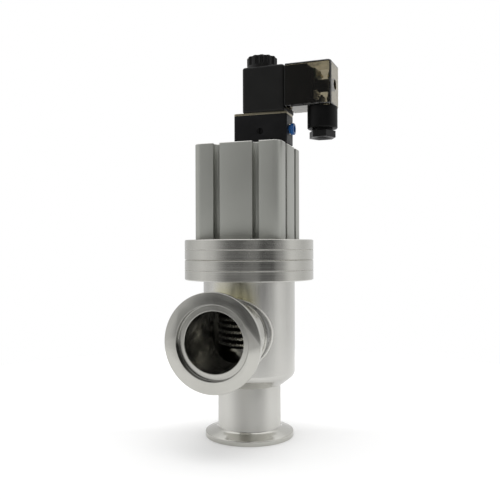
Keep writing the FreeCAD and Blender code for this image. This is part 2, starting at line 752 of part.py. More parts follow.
def cylinder_barrel(doc, s):
    """Slotted extrusion: closed top, bore from below, tie screw holes and air ducts."""
    body = new_body(doc, "cylinder_barrel")
    half_x = s.barrel_width / 2
    half_y = s.barrel_depth / 2
    outline = sketch_on(body, "XY_Plane", s.bonnet_top)
    polygon(outline, rectangle(-half_x, half_x, -half_y, half_y))
    pad(body, outline, s.barrel_height)
    round_edges(body, s.barrel_corner, upright)
    mouth = s.slot_mouth / 2
    for side in (-1, 1):
        for across in (-1, 1):
            x = s.slot_spread_x / 2 * across
            y = half_y * side
            slot = sketch_on(body, "XY_Plane", s.bonnet_top)
            polygon(slot, slot_outline(s, x, y, mouth, -side))
            cut(body, slot, s.barrel_height)
            y = s.slot_spread_y / 2 * across
            x = half_x * side
            slot = sketch_on(body, "XY_Plane", s.bonnet_top)
            polygon(slot, [(b, a) for a, b in slot_outline(s, y, x, mouth, -side)])
            cut(body, slot, s.barrel_height)
    bore(body, s.cylinder_bore / 2, s.barrel_height - s.ceiling, (0, 0, s.bonnet_top))
    stop_low = s.stem_end + s.stroke + s.seat_gap
    boss(body, s.stop_radius, s.ceiling_height - stop_low, (0, 0, stop_low))
    bore(body, s.barrel_seal_radius, s.barrel_seal_height, (0, 0, s.bonnet_top))
    for x, y in tie_places(s):
        bore(body, s.bonnet_hole, s.barrel_height, (x, y, s.bonnet_top))
        bore(body, s.head_room, s.head_depth, (x, y, s.barrel_top), -Z_AXIS)
    air_ducts(body, s)
    for x, y in pilot_places(s):
        bore(body, s.pilot_screw_radius, s.pilot_grip, (x, y, s.barrel_top), -Z_AXIS)
    return body


def slot_outline(s, across, face, mouth, inwards):
    """Section of a sensor slot: a narrow mouth that opens into a wider channel."""
    wide = s.slot_channel / 2
    narrow = s.slot_floor / 2
    lip = face + s.slot_lip * inwards
    flank = lip + s.slot_slope * inwards
    shoulder = flank + s.slot_slope * inwards
    floor = shoulder + s.slot_slope * inwards
    return [
        (across - mouth, face), (across - mouth, lip), (across - wide, flank),
        (across - wide, shoulder), (across - narrow, floor), (across + narrow, floor),
        (across + wide, shoulder), (across + wide, flank), (across + mouth, lip),
        (across + mouth, face),
    ]


def air_ducts(body, s):
    """From the pilot's outlet along the top, down the wall and in under the piston."""
    cross = s.barrel_top - s.duct_depth
    half_x = s.barrel_width / 2
    foot = s.bonnet_top + s.barrel_seal_height + s.duct_radius * 2
    bore(body, s.duct_radius, s.duct_depth, (outlet_x(s), 0, cross))
    bore(body, s.duct_radius, half_x + s.duct_x, (-half_x, 0, cross), X_AXIS)
    bore(body, s.duct_plug_radius, s.duct_plug_length, (-half_x, 0, cross), X_AXIS)
    bore(body, s.duct_radius, cross - foot, (s.duct_x, 0, foot))
    bore(body, s.duct_radius, s.duct_x, (0, 0, foot), X_AXIS)
    high = s.ceiling_height - s.breather_radius * 2
    bore(body, s.breather_radius, s.barrel_depth / 2, (0, 0, high), Y_AXIS)


def outlet_x(s):
    return s.tube_x + s.tube_bore - s.duct_radius


def duct_plug(doc, s):
    place = FreeCAD.Placement(FreeCAD.Vector(), FreeCAD.Rotation(Z_AXIS, X_AXIS))
    body = ring_body(doc, "duct_plug", 0, s.duct_plug_radius, 0, s.duct_plug_length, place)
    body.setExpression("Placement.Base.x", (-s.barrel_width / 2).text)
    body.setExpression("Placement.Base.z", (s.barrel_top - s.duct_depth).text)
    return body


def piston(doc, s):
    """Piston with a spring cup, a seal groove and a magnet groove."""
    body = new_body(doc, "piston")
    outer = s.cylinder_bore / 2 - s.piston_gap
    top = s.piston_low + s.piston_skirt
    seal_low, seal_high, magnet_low, magnet_high = piston_grooves(s)
    revolve(body, [
        (s.stem_thread_radius, s.piston_low),
        (outer, s.piston_low),
        (outer, seal_low),
        (outer - s.piston_seal_depth, seal_low),
        (outer - s.piston_seal_depth, seal_high),
        (outer, seal_high),
        (outer, magnet_low),
        (outer - s.magnet_depth, magnet_low),
        (outer - s.magnet_depth, magnet_high),
        (outer, magnet_high),
        (outer, top),
        (s.cup_radius, top),
        (s.cup_radius, s.cup_floor),
        (s.stem_thread_radius, s.cup_floor),
    ])
    return body


def piston_grooves(s):
    seal_low = s.piston_low + s.piston_seal_depth
    seal_high = seal_low + s.piston_seal_height
    magnet_low = seal_high + s.piston_seal_depth / 2
    return seal_low, seal_high, magnet_low, magnet_low + s.magnet_height


def piston_rings(doc, s):
    seal_low, seal_high, magnet_low, magnet_high = piston_grooves(s)
    outer = s.cylinder_bore / 2 - s.piston_gap
    seal = ring_body(doc, "piston_seal", outer - s.piston_seal_depth, outer + s.piston_gap / 2,
                     seal_low, seal_high)
    magnet = ring_body(doc, "magnet_ring", outer - s.magnet_depth, outer, magnet_low, magnet_high)
    return [seal, magnet]


def piston_nut(doc, s):
    body = new_body(doc, "piston_nut")
    sketch = sketch_on(body, "XY_Plane", s.cup_floor)
    hexagon(sketch, s.nut_across)
    circle(sketch, 0, 0, s.stem_thread_radius)
    pad(body, sketch, s.nut_height)
    return body


def return_spring(doc, s):
    half = s.spring_wire / 2
    return ring_body(doc, "return_spring", s.spring_radius - half, s.spring_radius + half,
                     s.cup_floor, s.ceiling_height)


# Pilot valve's base

def base_outline(s):
    return rectangle(s.tube_x - s.base_left, s.base_right_x, -s.base_front, s.base_back)


def pilot_places(s):
    left = s.tube_x - s.pilot_screw_left
    right = s.tube_x + s.pilot_screw_right
    return [(x, y) for x in (left, right) for y in (-s.pilot_screw_front, s.pilot_screw_back)]


def pilot_base(doc, s):
    """Base block: plunger cavity with its nozzle, fitting, override and air ducts."""
    body = new_body(doc, "pilot_base")
    outline = sketch_on(body, "XY_Plane", s.base_low)
    polygon(outline, base_outline(s))
    pad(body, outline, s.base_height)
    round_edges(body, s.base_edge, upright)
    cavity = sketch_on(body, "XY_Plane", s.cavity_floor)
    circle(cavity, s.tube_x, 0, s.tube_bore)
    circle(cavity, s.tube_x, 0, s.nozzle_radius)
    cut(body, cavity, s.nozzle_height)
    seat = s.armature_flange_height + s.tube_seal_section
    clear = s.cavity_depth - s.nozzle_height
    bore(body, s.tube_bore, clear, (s.tube_x, 0, s.base_top), -Z_AXIS)
    bore(body, s.armature_flange, seat, (s.tube_x, 0, s.base_top), -Z_AXIS)
    right = s.base_right_x
    bore(body, s.fitting_radius, s.fitting_length, (right, s.fitting_y, s.fitting_z), -X_AXIS)
    bore(body, s.hose_hole, s.hose_depth, (right, s.fitting_y, s.fitting_z), -X_AXIS)
    inlet = s.base_right + s.duct_radius
    inlet_y = s.fitting_y + s.hose_hole - s.hose_gap - s.duct_radius
    bore(body, s.duct_radius, inlet, (right, inlet_y, s.fitting_z), -X_AXIS)
    riser = s.cavity_floor + s.nozzle_height - s.fitting_z
    bore(body, s.nozzle_bore, riser, (s.tube_x, 0, s.fitting_z))
    bore(body, s.override_radius, s.override_length, (s.override_x, -s.base_front, s.override_z), Y_AXIS)
    for x, y in pilot_places(s):
        bore(body, s.pilot_screw_radius + s.screw_gap / 2, s.base_height, (x, y, s.base_low))
    return body


def base_gasket(doc, s):
    body = new_body(doc, "base_gasket")
    outline = sketch_on(body, "XY_Plane", s.barrel_top)
    left, right = s.tube_x - s.base_left + s.base_edge, s.base_right_x - s.base_edge
    polygon(outline, rectangle(left, right, s.base_edge - s.base_front, s.base_back - s.base_edge))
    pad(body, outline, s.gasket_thickness)
    bore(body, s.duct_radius, s.gasket_thickness, (outlet_x(s), 0, s.barrel_top))
    for x, y in pilot_places(s):
        bore(body, s.pilot_screw_radius + s.screw_gap / 2, s.gasket_thickness, (x, y, s.barrel_top))
    return body


def tube_plate(doc, s):
    """Steel plate that holds the armature tube down on the base."""
    body = new_body(doc, "tube_plate")
    outline = sketch_on(body, "XY_Plane", s.base_top)
    polygon(outline, base_outline(s))
    circle(outline, s.tube_x, 0, s.armature_radius)
    pad(body, outline, s.plate_thickness)
    round_edges(body, s.base_edge, lambda edge: upright(edge) and edge.Length < s.base_height.value
                and abs(edge.Vertexes[0].X - s.tube_x.value) > s.armature_radius.value * 2)
    for x, y in pilot_places(s):
        bore(body, s.pilot_head_radius, s.plate_thickness, (x, y, s.base_top))
    return body


def pilot_screws(doc, s):
    """Countersunk M2.5 screws through plate and base into the barrel."""
    shank = s.base_height + s.gasket_thickness + s.pilot_grip - s.end_gap
    screw = new_body(doc, "pilot_screw")
    revolve(screw, [
        (0, -shank),
        (s.pilot_screw_radius, -shank),
        (s.pilot_screw_radius, 0),
        (s.pilot_head_radius, s.plate_thickness),
        (0, s.plate_thickness),
    ])
    reach = s.cross_reach
    half = s.cross_width / 2
    sketch = sketch_on(screw, "XY_Plane", s.plate_thickness - s.cross_depth)
    polygon(sketch, [
        (-half, -reach), (half, -reach), (half, -half), (reach, -half),
        (reach, half), (half, half), (half, reach), (-half, reach),
        (-half, half), (-reach, half), (-reach, -half), (-half, -half),
    ])
    cut(screw, sketch, s.cross_depth)
    return grouped(doc, "pilot_screws", screw, [(x, y, s.base_top) for x, y in pilot_places(s)])


# Armature tube, plunger and coil

def armature_tube(doc, s):
    """Steel tube with a flange at its foot and the fixed core welded into its top."""
    body = new_body(doc, "armature_tube")
    body.setExpression("Placement.Base.x", s.tube_x.text)
    top = s.plate_top + s.armature_length
    flange_low = s.base_top - s.armature_flange_height
    revolve(body, [
        (s.tube_bore, flange_low),
        (s.armature_flange, flange_low),
        (s.armature_flange, s.base_top),
        (s.armature_radius, s.base_top),
        (s.armature_radius, top - s.armature_wall),
        (s.tube_bore, top),
        (0, top),
        (0, s.core_low),
        (s.tube_bore, s.core_low),
    ])
    return body


def plunger(doc, s):
    """Plunger with a rubber pad below and a spring hole above."""
    body = new_body(doc, "plunger")
    body.setExpression("Placement.Base.x", s.tube_x.text)
    radius = s.tube_bore - s.plunger_gap
    low = s.pad_low + s.pad_proud
    high = s.core_low - s.plunger_lift - s.seat_gap
    hole = s.plunger_spring_radius + s.plunger_gap
    revolve(body, [
        (0, s.pad_low + s.pad_height),
        (s.pad_radius, s.pad_low + s.pad_height),
        (s.pad_radius, low),
        (radius, low),
        (radius, high),
        (hole, high),
        (hole, high - s.plunger_spring_seat),
        (0, high - s.plunger_spring_seat),
    ])
    return body


def plunger_parts(doc, s):
    rubber = ring_body(doc, "plunger_pad", 0, s.pad_radius, s.pad_low, s.pad_low + s.pad_height)
    seat = s.core_low - s.plunger_lift - s.seat_gap - s.plunger_spring_seat
    inner = s.plunger_spring_radius - s.plunger_spring_wire
    spring = ring_body(doc, "plunger_spring", inner, s.plunger_spring_radius, seat, s.core_low)
    flange_low = s.base_top - s.armature_flange_height
    seal = ring_body(doc, "tube_seal", s.tube_bore, s.armature_flange,
                     flange_low - s.tube_seal_section, flange_low)
    for body in (rubber, spring, seal):
        body.setExpression("Placement.Base.x", s.tube_x.text)
    return [rubber, spring, seal]


def turned_place(s):
    """Coil and plug are turned a little about the armature tube."""
    turn = FreeCAD.Rotation(Z_AXIS, s.coil_turn.value)
    return FreeCAD.Placement(FreeCAD.Vector(s.tube_x.value, 0, 0), turn)


def coil_body(doc, name, s):
    body = new_body(doc, name, turned_place(s))
    body.setExpression("Placement.Base.x", s.tube_x.text)
    return body


def coil(doc, s):
    """Moulded coil, open for the armature tube, the blades and the plug's screw."""
    body = coil_body(doc, "coil", s)
    half = s.coil_depth / 2
    outline = sketch_on(body, "XY_Plane", s.coil_low)
    polygon(outline, rectangle(-s.coil_left, s.coil_right, -half, half))
    pad(body, outline, s.coil_height)
    round_edges(body, s.coil_edge, upright)
    flat_ends = (s.coil_low.value, s.coil_top.value)
    round_edges(body, s.coil_rim, lambda edge: is_level(edge, flat_ends))
    bore(body, s.armature_radius + s.coil_gap, s.coil_height, (0, 0, s.coil_low))
    bore(body, s.plug_screw_radius, s.plug_screw_grip, (s.coil_right, 0, s.plug_middle), -X_AXIS)
    return body


def is_level(edge, heights):
    box = edge.BoundBox
    return box.ZLength < 1e-6 and min(abs(box.ZMin - height) for height in heights) < 1e-6


def coil_terminals(doc, s):
    """Two blades side by side on the coil's face."""
    body = coil_body(doc, "coil_terminals", s)
    sketch = sketch_on(body, "XY_Plane", blade_low(s))
    half = s.blade_thickness / 2
    for side in (-1, 1):
        middle = s.blade_spread / 2 * side
        polygon(sketch, rectangle(s.coil_right, s.coil_right + s.blade_length, middle - half, middle + half))
    pad(body, sketch, s.blade_width)
    return body


def blade_low(s):
    return s.plug_middle + s.blade_lift - s.blade_width / 2


def coil_nut(doc, s):
    """Knurled nut on the armature tube, fluted all round above a plain skirt."""
    body = new_body(doc, "coil_nut")
    body.setExpression("Placement.Base.x", s.tube_x.text)
    top = s.coil_top + s.coil_nut_height
    inner = s.armature_radius + s.thread_gap
    revolve(body, [
        (inner, s.coil_top),
        (s.coil_nut_radius, s.coil_top),
        (s.coil_nut_radius, top - s.edge_chamfer),
        (s.coil_nut_radius - s.edge_chamfer, top),
        (0, top),
        (0, s.plate_top + s.armature_length + s.thread_gap),
        (inner, s.plate_top + s.armature_length + s.thread_gap),
    ])
    skirt = s.coil_top + s.coil_nut_skirt
    reach = s.coil_nut_radius + s.knurl_radius - s.knurl_bite
    flute = bore(body, s.knurl_radius, s.coil_nut_height - s.coil_nut_skirt, (reach, 0, skirt))
    pattern = body.newObject("PartDesign::PolarPattern", "coil_nut_flutes")
    pattern.Originals = [flute]
    axis = [item for item in body.Origin.OriginFeatures if item.Role == "Z_Axis"][0]
    pattern.Axis = (axis, [""])
    pattern.Angle = 360
    pattern.setExpression("Occurrences", s.knurl_count.text)
    body.Tip = pattern
    return body


# Plug and cable gland

def plug_outline(s, left, right, inset):
    inset = length(inset)
    return rectangle(left, right, inset - s.plug_front, s.plug_back - inset)


def connector_gasket(doc, s):
    body = coil_body(doc, "connector_gasket", s)
    sketch = sketch_on(body, "XY_Plane", s.plug_low + s.plug_wall)
    polygon(sketch, plug_outline(s, s.coil_right, s.plug_start, s.plug_wall))
    pad(body, sketch, s.plug_height - s.plug_wall * 2)
    bore(body, s.plug_screw_room, s.plug_gasket, (s.coil_right, 0, s.plug_middle), X_AXIS)
    for side in (-1, 1):
        blade_slot(body, s, side, s.coil_right, s.plug_gasket)
    return body


def blade_slot(body, s, side, start, depth):
    """A slot for a terminal blade, with a little room all round."""
    middle = s.blade_spread / 2 * side
    half = s.blade_thickness / 2 + s.insert_gap
    low = blade_low(s) - s.insert_gap
    sketch = sketch_on(body, "XY_Plane", low)
    polygon(sketch, rectangle(start, start + depth, middle - half, middle + half))
    cut(body, sketch, s.blade_width + s.insert_gap * 2)


def connector_housing(doc, s):
    """Clear housing, open towards the coil, with a hole for the screw in its outer end."""
    body = coil_body(doc, "connector_housing", s)
    outline = sketch_on(body, "XY_Plane", s.plug_low)
    polygon(outline, plug_outline(s, s.plug_start, s.plug_end, 0))
    pad(body, outline, s.plug_height)
    far = s.plug_end.value
    round_edges(body, s.plug_edge,
                lambda edge: upright(edge) and abs(edge.Vertexes[0].Point.x - far) < 1e-6)
    flat_ends = (s.plug_low.value, s.plug_top.value)
    near = s.plug_start.value
    round_edges(body, s.plug_rim, lambda edge: is_level(edge, flat_ends)
                and edge.BoundBox.XMax > near + 1e-6)
    hollow = sketch_on(body, "XY_Plane", s.plug_low + s.plug_wall)
    polygon(hollow, plug_outline(s, s.plug_start, s.plug_end - s.plug_wall, s.plug_wall))
    cut(body, hollow, s.plug_height - s.plug_wall * 2)
    bore(body, s.plug_recess_radius, s.plug_wall, (s.plug_end, 0, s.plug_middle), -X_AXIS)
    bore(body, s.gland_neck_radius, s.plug_wall, (s.gland_x, 0, s.plug_low))
    return body


def terminal_insert(doc, s):
    """Black insert with the sockets, a shelf for the terminals and the screw's tunnel."""
    body = coil_body(doc, "terminal_insert", s)
    gap = s.plug_wall + s.insert_gap
    low = s.plug_low + gap
    high = s.plug_top - gap
    shelf_low = s.plug_low + s.shelf_foot
    shelf_high = s.plug_top - s.shelf_drop
    sketch = sketch_on(body, "XZ_Plane", s.plug_front - gap)
    polygon(sketch, [
        (s.plug_start, low), (s.insert_end, low), (s.insert_end, shelf_low),
        (s.shelf_end, shelf_low), (s.shelf_end, shelf_high), (s.insert_end, shelf_high),
        (s.insert_end, high), (s.plug_start, high),
    ])
    block = pad(body, sketch, s.plug_front + s.plug_back - gap * 2)
    block.Reversed = True
    boss(body, s.tunnel_radius, s.tunnel_end - s.insert_end, (s.insert_end, 0, s.plug_middle), X_AXIS)
    whole = s.tunnel_end - s.plug_start
    bore(body, s.plug_screw_room, whole, (s.plug_start, 0, s.plug_middle), X_AXIS)
    sink = s.plug_head_sink + s.plug_head_height - s.plug_wall - s.insert_gap
    bore(body, s.plug_recess_radius, sink, (s.tunnel_end, 0, s.plug_middle), -X_AXIS)
    for side in (-1, 1):
        blade_slot(body, s, side, s.plug_start, s.blade_length)
    return body


def circuit_board(doc, s):
    """Small board with the lamp, upright against the shelf's outer end."""
    body = coil_body(doc, "circuit_board", s)
    low = s.plug_middle + s.tunnel_radius + s.insert_gap
    sketch = sketch_on(body, "XY_Plane", low)
    half = s.board_width / 2
    polygon(sketch, rectangle(s.shelf_end, s.shelf_end + s.board_thickness, -half, half))
    pad(body, sketch, s.plug_top - s.shelf_drop - low)
    return body


def connector_screw(doc, s):
    """Long screw from the plug's outer end into the coil."""
    place = turned_place(s).multiply(
        FreeCAD.Placement(FreeCAD.Vector(), FreeCAD.Rotation(Z_AXIS, X_AXIS)))
    body = new_body(doc, "connector_screw", place)
    body.setExpression("Placement.Base.z", s.plug_middle.text)
    body.setExpression("Placement.Base.x", s.tube_x.text)
    seat = s.plug_end - s.plug_head_sink - s.plug_head_height
    end = s.coil_right - s.plug_screw_grip + s.end_gap
    revolve(body, [
        (0, end),
        (s.plug_screw_radius, end),
        (s.plug_screw_radius, seat),
        (s.plug_head_radius, seat),
        (s.plug_head_radius, seat + s.plug_head_height),
        (0, seat + s.plug_head_height),
    ])
    slot = sketch_on(body, "XY_Plane", seat + s.plug_head_height)
    reach = s.plug_recess_radius
    half = s.override_slot / 2
    polygon(slot, rectangle(-reach, reach, -half, half))
    cut(body, slot, s.override_slot_depth, downwards=True)
    return body


def gland_place(s):
    return turned_place(s).multiply(FreeCAD.Placement(FreeCAD.Vector(s.gland_x.value, 0, 0),
                                                      FreeCAD.Rotation()))


def gland_block(doc, s):
    """Gland body under the plug's outer end, with a threaded neck and a cable hole."""
    body = new_body(doc, "gland_block", gland_place(s))
    spigot_top = s.plug_low + s.plug_wall
    spigot = s.gland_neck_radius - s.thread_gap
    cable = s.gland_neck_radius - s.gland_wall
    revolve(body, [
        (cable, s.neck_low),
        (s.gland_neck_radius, s.neck_low),
        (s.gland_neck_radius, s.gland_low),
        (s.gland_radius - s.edge_chamfer, s.gland_low),
        (s.gland_radius, s.gland_low + s.edge_chamfer),
        (s.gland_radius, s.plug_low),
        (spigot, s.plug_low),
        (spigot, spigot_top),
        (cable, spigot_top),
    ])
    return body


def gland_nut(doc, s):
    """Hexagonal nut round the gland's neck, its mouth widening downwards."""
    body = new_body(doc, "gland_nut", gland_place(s))
    high = s.gland_low - s.gland_nut_skip
    low = high - s.gland_nut_height
    sketch = sketch_on(body, "XY_Plane", low)
    hexagon(sketch, s.gland_nut_across)
    pad(body, sketch, s.gland_nut_height)
    bore(body, s.gland_hole, s.gland_nut_height, (0, 0, low))
    mouth = body.newObject("PartDesign::SubtractiveCone", "gland_nut_mouth")
    mouth.setExpression("Radius1", s.gland_mouth.text)
    mouth.setExpression("Radius2", s.gland_hole.text)
    mouth.setExpression("Height", s.gland_mouth_depth.text)
    mouth.setExpression("Placement.Base.z", low.text)
    seat = s.neck_low - s.thread_gap
    bore(body, s.gland_neck_radius + s.thread_gap, high - seat, (0, 0, seat))
    return body


def gland_grommet(doc, s):
    outer = s.gland_neck_radius - s.gland_wall
    low = s.neck_low
    high = low + s.gland_neck_height * 2
    return ring_body(doc, "gland_grommet", s.gland_hole, outer, low, high, gland_place(s))


# Push-in fitting and manual override

def fitting_place(s):
    body_place = FreeCAD.Vector(s.base_right_x.value, s.fitting_y.value, s.fitting_z.value)
    return FreeCAD.Placement(body_place, FreeCAD.Rotation(Z_AXIS, X_AXIS))


def fitting_pieces(doc, s):
    """Fitting's body, hose seal and blue release ring, along +X from the base's side."""
    place = fitting_place(s)
    hose = s.hose_hole
    sleeve_room = s.release_sleeve + s.release_gap
    seal_high = -s.release_length - s.release_travel - s.seat_gap
    seal_low = seal_high - s.fitting_seal_length
    body = new_body(doc, "fitting_body", place)
    revolve(body, [
        (hose, -s.fitting_length),
        (s.fitting_radius, -s.fitting_length),
        (s.fitting_radius, 0),
        (sleeve_room, 0),
        (sleeve_room, seal_low),
        (hose, seal_low),
    ])
    seal = ring_body(doc, "fitting_seal", hose, sleeve_room, seal_low, seal_high, place)
    ring = new_body(doc, "release_ring", place)
    revolve(ring, [
        (hose, -s.release_length),
        (s.release_sleeve, -s.release_length),
        (s.release_sleeve, s.release_stand),
        (s.release_radius, s.release_stand),
        (s.release_radius, s.release_stand + s.release_head - s.edge_chamfer / 2),
        (s.release_radius - s.edge_chamfer / 2, s.release_stand + s.release_head),
        (hose, s.release_stand + s.release_head),
    ])
    return [body, seal, ring]


def override_screw(doc, s):
    place = FreeCAD.Placement(
        FreeCAD.Vector(s.override_x.value, -s.base_front.value, s.override_z.value),
        FreeCAD.Rotation(X_AXIS, 90))
    body = new_body(doc, "override_screw", place)
    radius = s.override_radius - s.override_gap
    revolve(body, rectangle(0, radius, s.override_gap - s.override_length, 0))
    slot = sketch_on(body, "XY_Plane")
    half = s.override_slot / 2
    reach = s.override_radius
    polygon(slot, rectangle(-half, half, -reach, reach))
    cut(body, slot, s.override_slot_depth, downwards=True)
    return body


def build(doc, s):
    pieces = [bottom_port(doc, s), side_port(doc, s), body_shell(doc, s), body_flange(doc, s)]
    pieces.append(bonnet_flange(doc, s))
    half_ring = s.ring_section / 2
    pieces.append(ring_body(doc, "bonnet_seal", s.ring_radius - half_ring, s.ring_radius + half_ring,
                            s.joint_height - s.ring_groove_depth, s.joint_height))
    pieces.append(bellows_collar(doc, s))
    pieces += bonnet_guides(doc, s)
    pieces += screws(doc, s)
    pieces += [bellows(doc, s), poppet_disc(doc, s), poppet_seal(doc, s), stem(doc, s)]
    pieces += [cylinder_barrel(doc, s), barrel_seal(doc, s), duct_plug(doc, s)]
    pieces += [piston(doc, s), piston_nut(doc, s), return_spring(doc, s)]
    pieces += piston_rings(doc, s)
    pieces += [pilot_base(doc, s), base_gasket(doc, s), tube_plate(doc, s), pilot_screws(doc, s)]
    pieces += [armature_tube(doc, s), plunger(doc, s)]
    pieces += plunger_parts(doc, s)
    pieces += [coil(doc, s), coil_terminals(doc, s), coil_nut(doc, s)]
    pieces += [connector_gasket(doc, s), connector_housing(doc, s), terminal_insert(doc, s)]
    pieces += [circuit_board(doc, s), connector_screw(doc, s)]
    pieces += [gland_block(doc, s), gland_nut(doc, s), gland_grommet(doc, s)]
    pieces += fitting_pieces(doc, s)
    pieces.append(override_screw(doc, s))
    return pieces


def bellows_collar(doc, s):
    """Upper weld ring of the bellows, sunk in the bonnet's underside."""
    return ring_body(doc, "bellows_collar", s.bellows_root, s.collar_radius, s.joint_height,
                     s.joint_height + s.collar_thickness)


def bonnet_guides(doc, s):
    low = s.joint_height + s.collar_thickness + s.bush_ledge
    high = low + s.bush_length
    hole = s.stem_radius + s.stem_gap
    bush = ring_body(doc, "guide_bush", hole, s.bush_radius, low, high)
    lip = ring_body(doc, "rod_seal", hole, s.bush_radius, high, high + s.lip_length)
    return [bush, lip]


def barrel_seal(doc, s):
    inner = s.cylinder_bore / 2
    return ring_body(doc, "barrel_seal", inner, s.barrel_seal_radius, s.bonnet_top,
                     s.bonnet_top + s.barrel_seal_height)


def check(doc, pieces):
    doc.recompute()
    for item in doc.Objects:
        if "Invalid" in item.State or "Error" in item.State:
            raise RuntimeError(f"{item.Label} failed: {item.State}")
        if item.TypeId in ("PartDesign::Pocket", "PartDesign::SubtractiveCylinder"):
            if item.Shape.Volume > item.BaseFeature.Shape.Volume - 1e-6:
                raise RuntimeError(f"{item.Label} removes nothing")
    for piece in pieces:
        if piece.Shape.isNull() or not piece.Shape.isValid():
            raise RuntimeError(f"{piece.Label} is not a valid shape")


def main():
    os.makedirs("parts", exist_ok=True)
    doc = FreeCAD.newDocument("VacuumValve")
    sizes = make_sheet(doc)
    shared(sizes)
    pieces = build(doc, sizes)
    check(doc, pieces)
    for piece in pieces:
        piece.Shape.exportStep(f"parts/{piece.Label}.step")
        print(piece.Label, len(piece.Shape.Solids), round(piece.Shape.Volume, 2))


main()
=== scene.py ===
import math

import bpy
from mathutils import Matrix, Vector


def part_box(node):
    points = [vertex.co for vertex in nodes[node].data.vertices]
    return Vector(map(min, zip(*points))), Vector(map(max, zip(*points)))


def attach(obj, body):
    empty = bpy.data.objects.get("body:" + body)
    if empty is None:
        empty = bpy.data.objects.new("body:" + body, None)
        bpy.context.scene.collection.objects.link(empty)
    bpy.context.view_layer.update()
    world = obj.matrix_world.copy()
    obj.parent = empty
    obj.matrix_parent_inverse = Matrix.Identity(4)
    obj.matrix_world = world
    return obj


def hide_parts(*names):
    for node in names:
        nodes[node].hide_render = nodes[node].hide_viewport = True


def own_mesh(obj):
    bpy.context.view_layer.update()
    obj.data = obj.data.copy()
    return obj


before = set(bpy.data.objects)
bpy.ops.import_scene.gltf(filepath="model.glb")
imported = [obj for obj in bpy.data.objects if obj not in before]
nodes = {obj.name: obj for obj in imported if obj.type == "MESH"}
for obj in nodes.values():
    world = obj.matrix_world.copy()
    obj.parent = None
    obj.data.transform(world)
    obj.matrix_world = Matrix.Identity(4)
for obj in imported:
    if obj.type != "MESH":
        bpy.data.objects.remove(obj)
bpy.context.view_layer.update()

MM = 0.001


def corners(name):
    """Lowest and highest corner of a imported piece, in millimetres."""
    low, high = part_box(name)
    return Vector(low) / MM, Vector(high) / MM


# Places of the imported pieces. All lengths are in millimetres, and the valve's axis is the frame's Z
_, shell_high = corners("body_shell")
port_low, port_high = corners("side_port")
flange_low, flange_high = corners("body_flange")
bellows_low, bellows_high = corners("bellows")
_, barrel_high = corners("cylinder_barrel")
spring_low, spring_high = corners("return_spring")
_, board_high = corners("circuit_board")

# Body tube, and side port with the recess of its centring ring
BODY_RADIUS = shell_high.x
SIDE_HEIGHT = (port_low.z + port_high.z) / 2
NECK_RADIUS = 19.5
RECESS_RADIUS = 20.6

# Bonnet, whose turned lines and edges are evenly spaced over both flanges
BONNET_LOW = flange_low.z
BONNET_RADIUS = flange_high.x
LINE_SPACING = (flange_high.z - flange_low.z) / 2

# Bellows
BELLOWS_CREST = bellows_high.x
BELLOWS_ROOT = 14.2
BELLOWS_FOOT = bellows_low.z
BELLOWS_TOP = bellows_high.z
BELLOWS_TURNS = 14
BELLOWS_SHEET = 0.3

# Cylinder barrel, and the return spring inside it
BARREL_TOP = barrel_high.z
CUT_EDGE = 0.6
SPRING_WIRE = 2.4
SPRING_RADIUS = spring_high.x - SPRING_WIRE / 2
SPRING_LOW = spring_low.z
SPRING_HIGH = spring_high.z
SPRING_TURNS = 7

# Coil, turned a little about its tube, and the terminal shelf in the clear plug
TUBE_X = 8.9
COIL_TURN = math.radians(-3.0)
SHELF_END = 35.0
SHELF_FOOT = 204.2
BOARD_TOP = board_high.z

# The photograph's camera, solved from its flanges: place, turns in degrees, and lens
CAMERA_STAND = (125.91, -385.18, 116.37)
CAMERA_YAW = 18.283
CAMERA_RISE = -0.37
CAMERA_ROLL = -0.177
SENSOR_WIDTH = 36.0
FOCAL_LENGTH = 46.56
LENS_SHIFT = (0.0060, 0.0050)
AWAY_FROM_CAMERA = (-0.31, 0.95, 0.0)

# How bright the metal sees the room, once round it from behind the valve: place and level
HORIZON = [
    (0.0, 0.66), (0.15, 0.60), (0.25, 0.80), (0.32, 0.62), (0.36, 0.32), (0.393, 0.13),
    (0.455, 0.07), (0.505, 0.17), (0.54, 0.17), (0.56, 0.05), (0.615, 0.05), (0.637, 0.24),
    (0.667, 0.38), (0.70, 0.74), (0.72, 0.84), (0.80, 0.66), (0.90, 0.78), (1.0, 0.68),
]
HORIZON_TURN = math.radians(71.9)
CEILING_LEVEL = 1.2
TABLE_LEVEL = 0.85
ROOM_LEVEL = 0.80


# Sockets of a Mix node by number, because their names repeat
MIX_FACTOR = 0
NUMBER_A, NUMBER_B, MIXED_NUMBER = 2, 3, 0
COLOUR_A, COLOUR_B, MIXED_COLOUR = 6, 7, 2


def linear(code):
    """An sRGB hex colour as the linear colour that the shaders take."""
    shares = [int(code[place:place + 2], 16) / 255 for place in (0, 2, 4)]
    return tuple(c / 12.92 if c <= 0.04045 else ((c + 0.055) / 1.055) ** 2.4 for c in shares) + (1.0,)


def add_node(tree, kind, settings=None, sockets=None):
    """Adds one shader node, with its settings, its socket values and its links."""
    node = tree.nodes.new(kind)
    for name, value in (settings or {}).items():
        setattr(node, name, value)
    for name, value in (sockets or {}).items():
        if isinstance(value, bpy.types.NodeSocket):
            tree.links.new(value, node.inputs[name])
        else:
            node.inputs[name].default_value = value
    return node


# Camera, as the photograph was taken

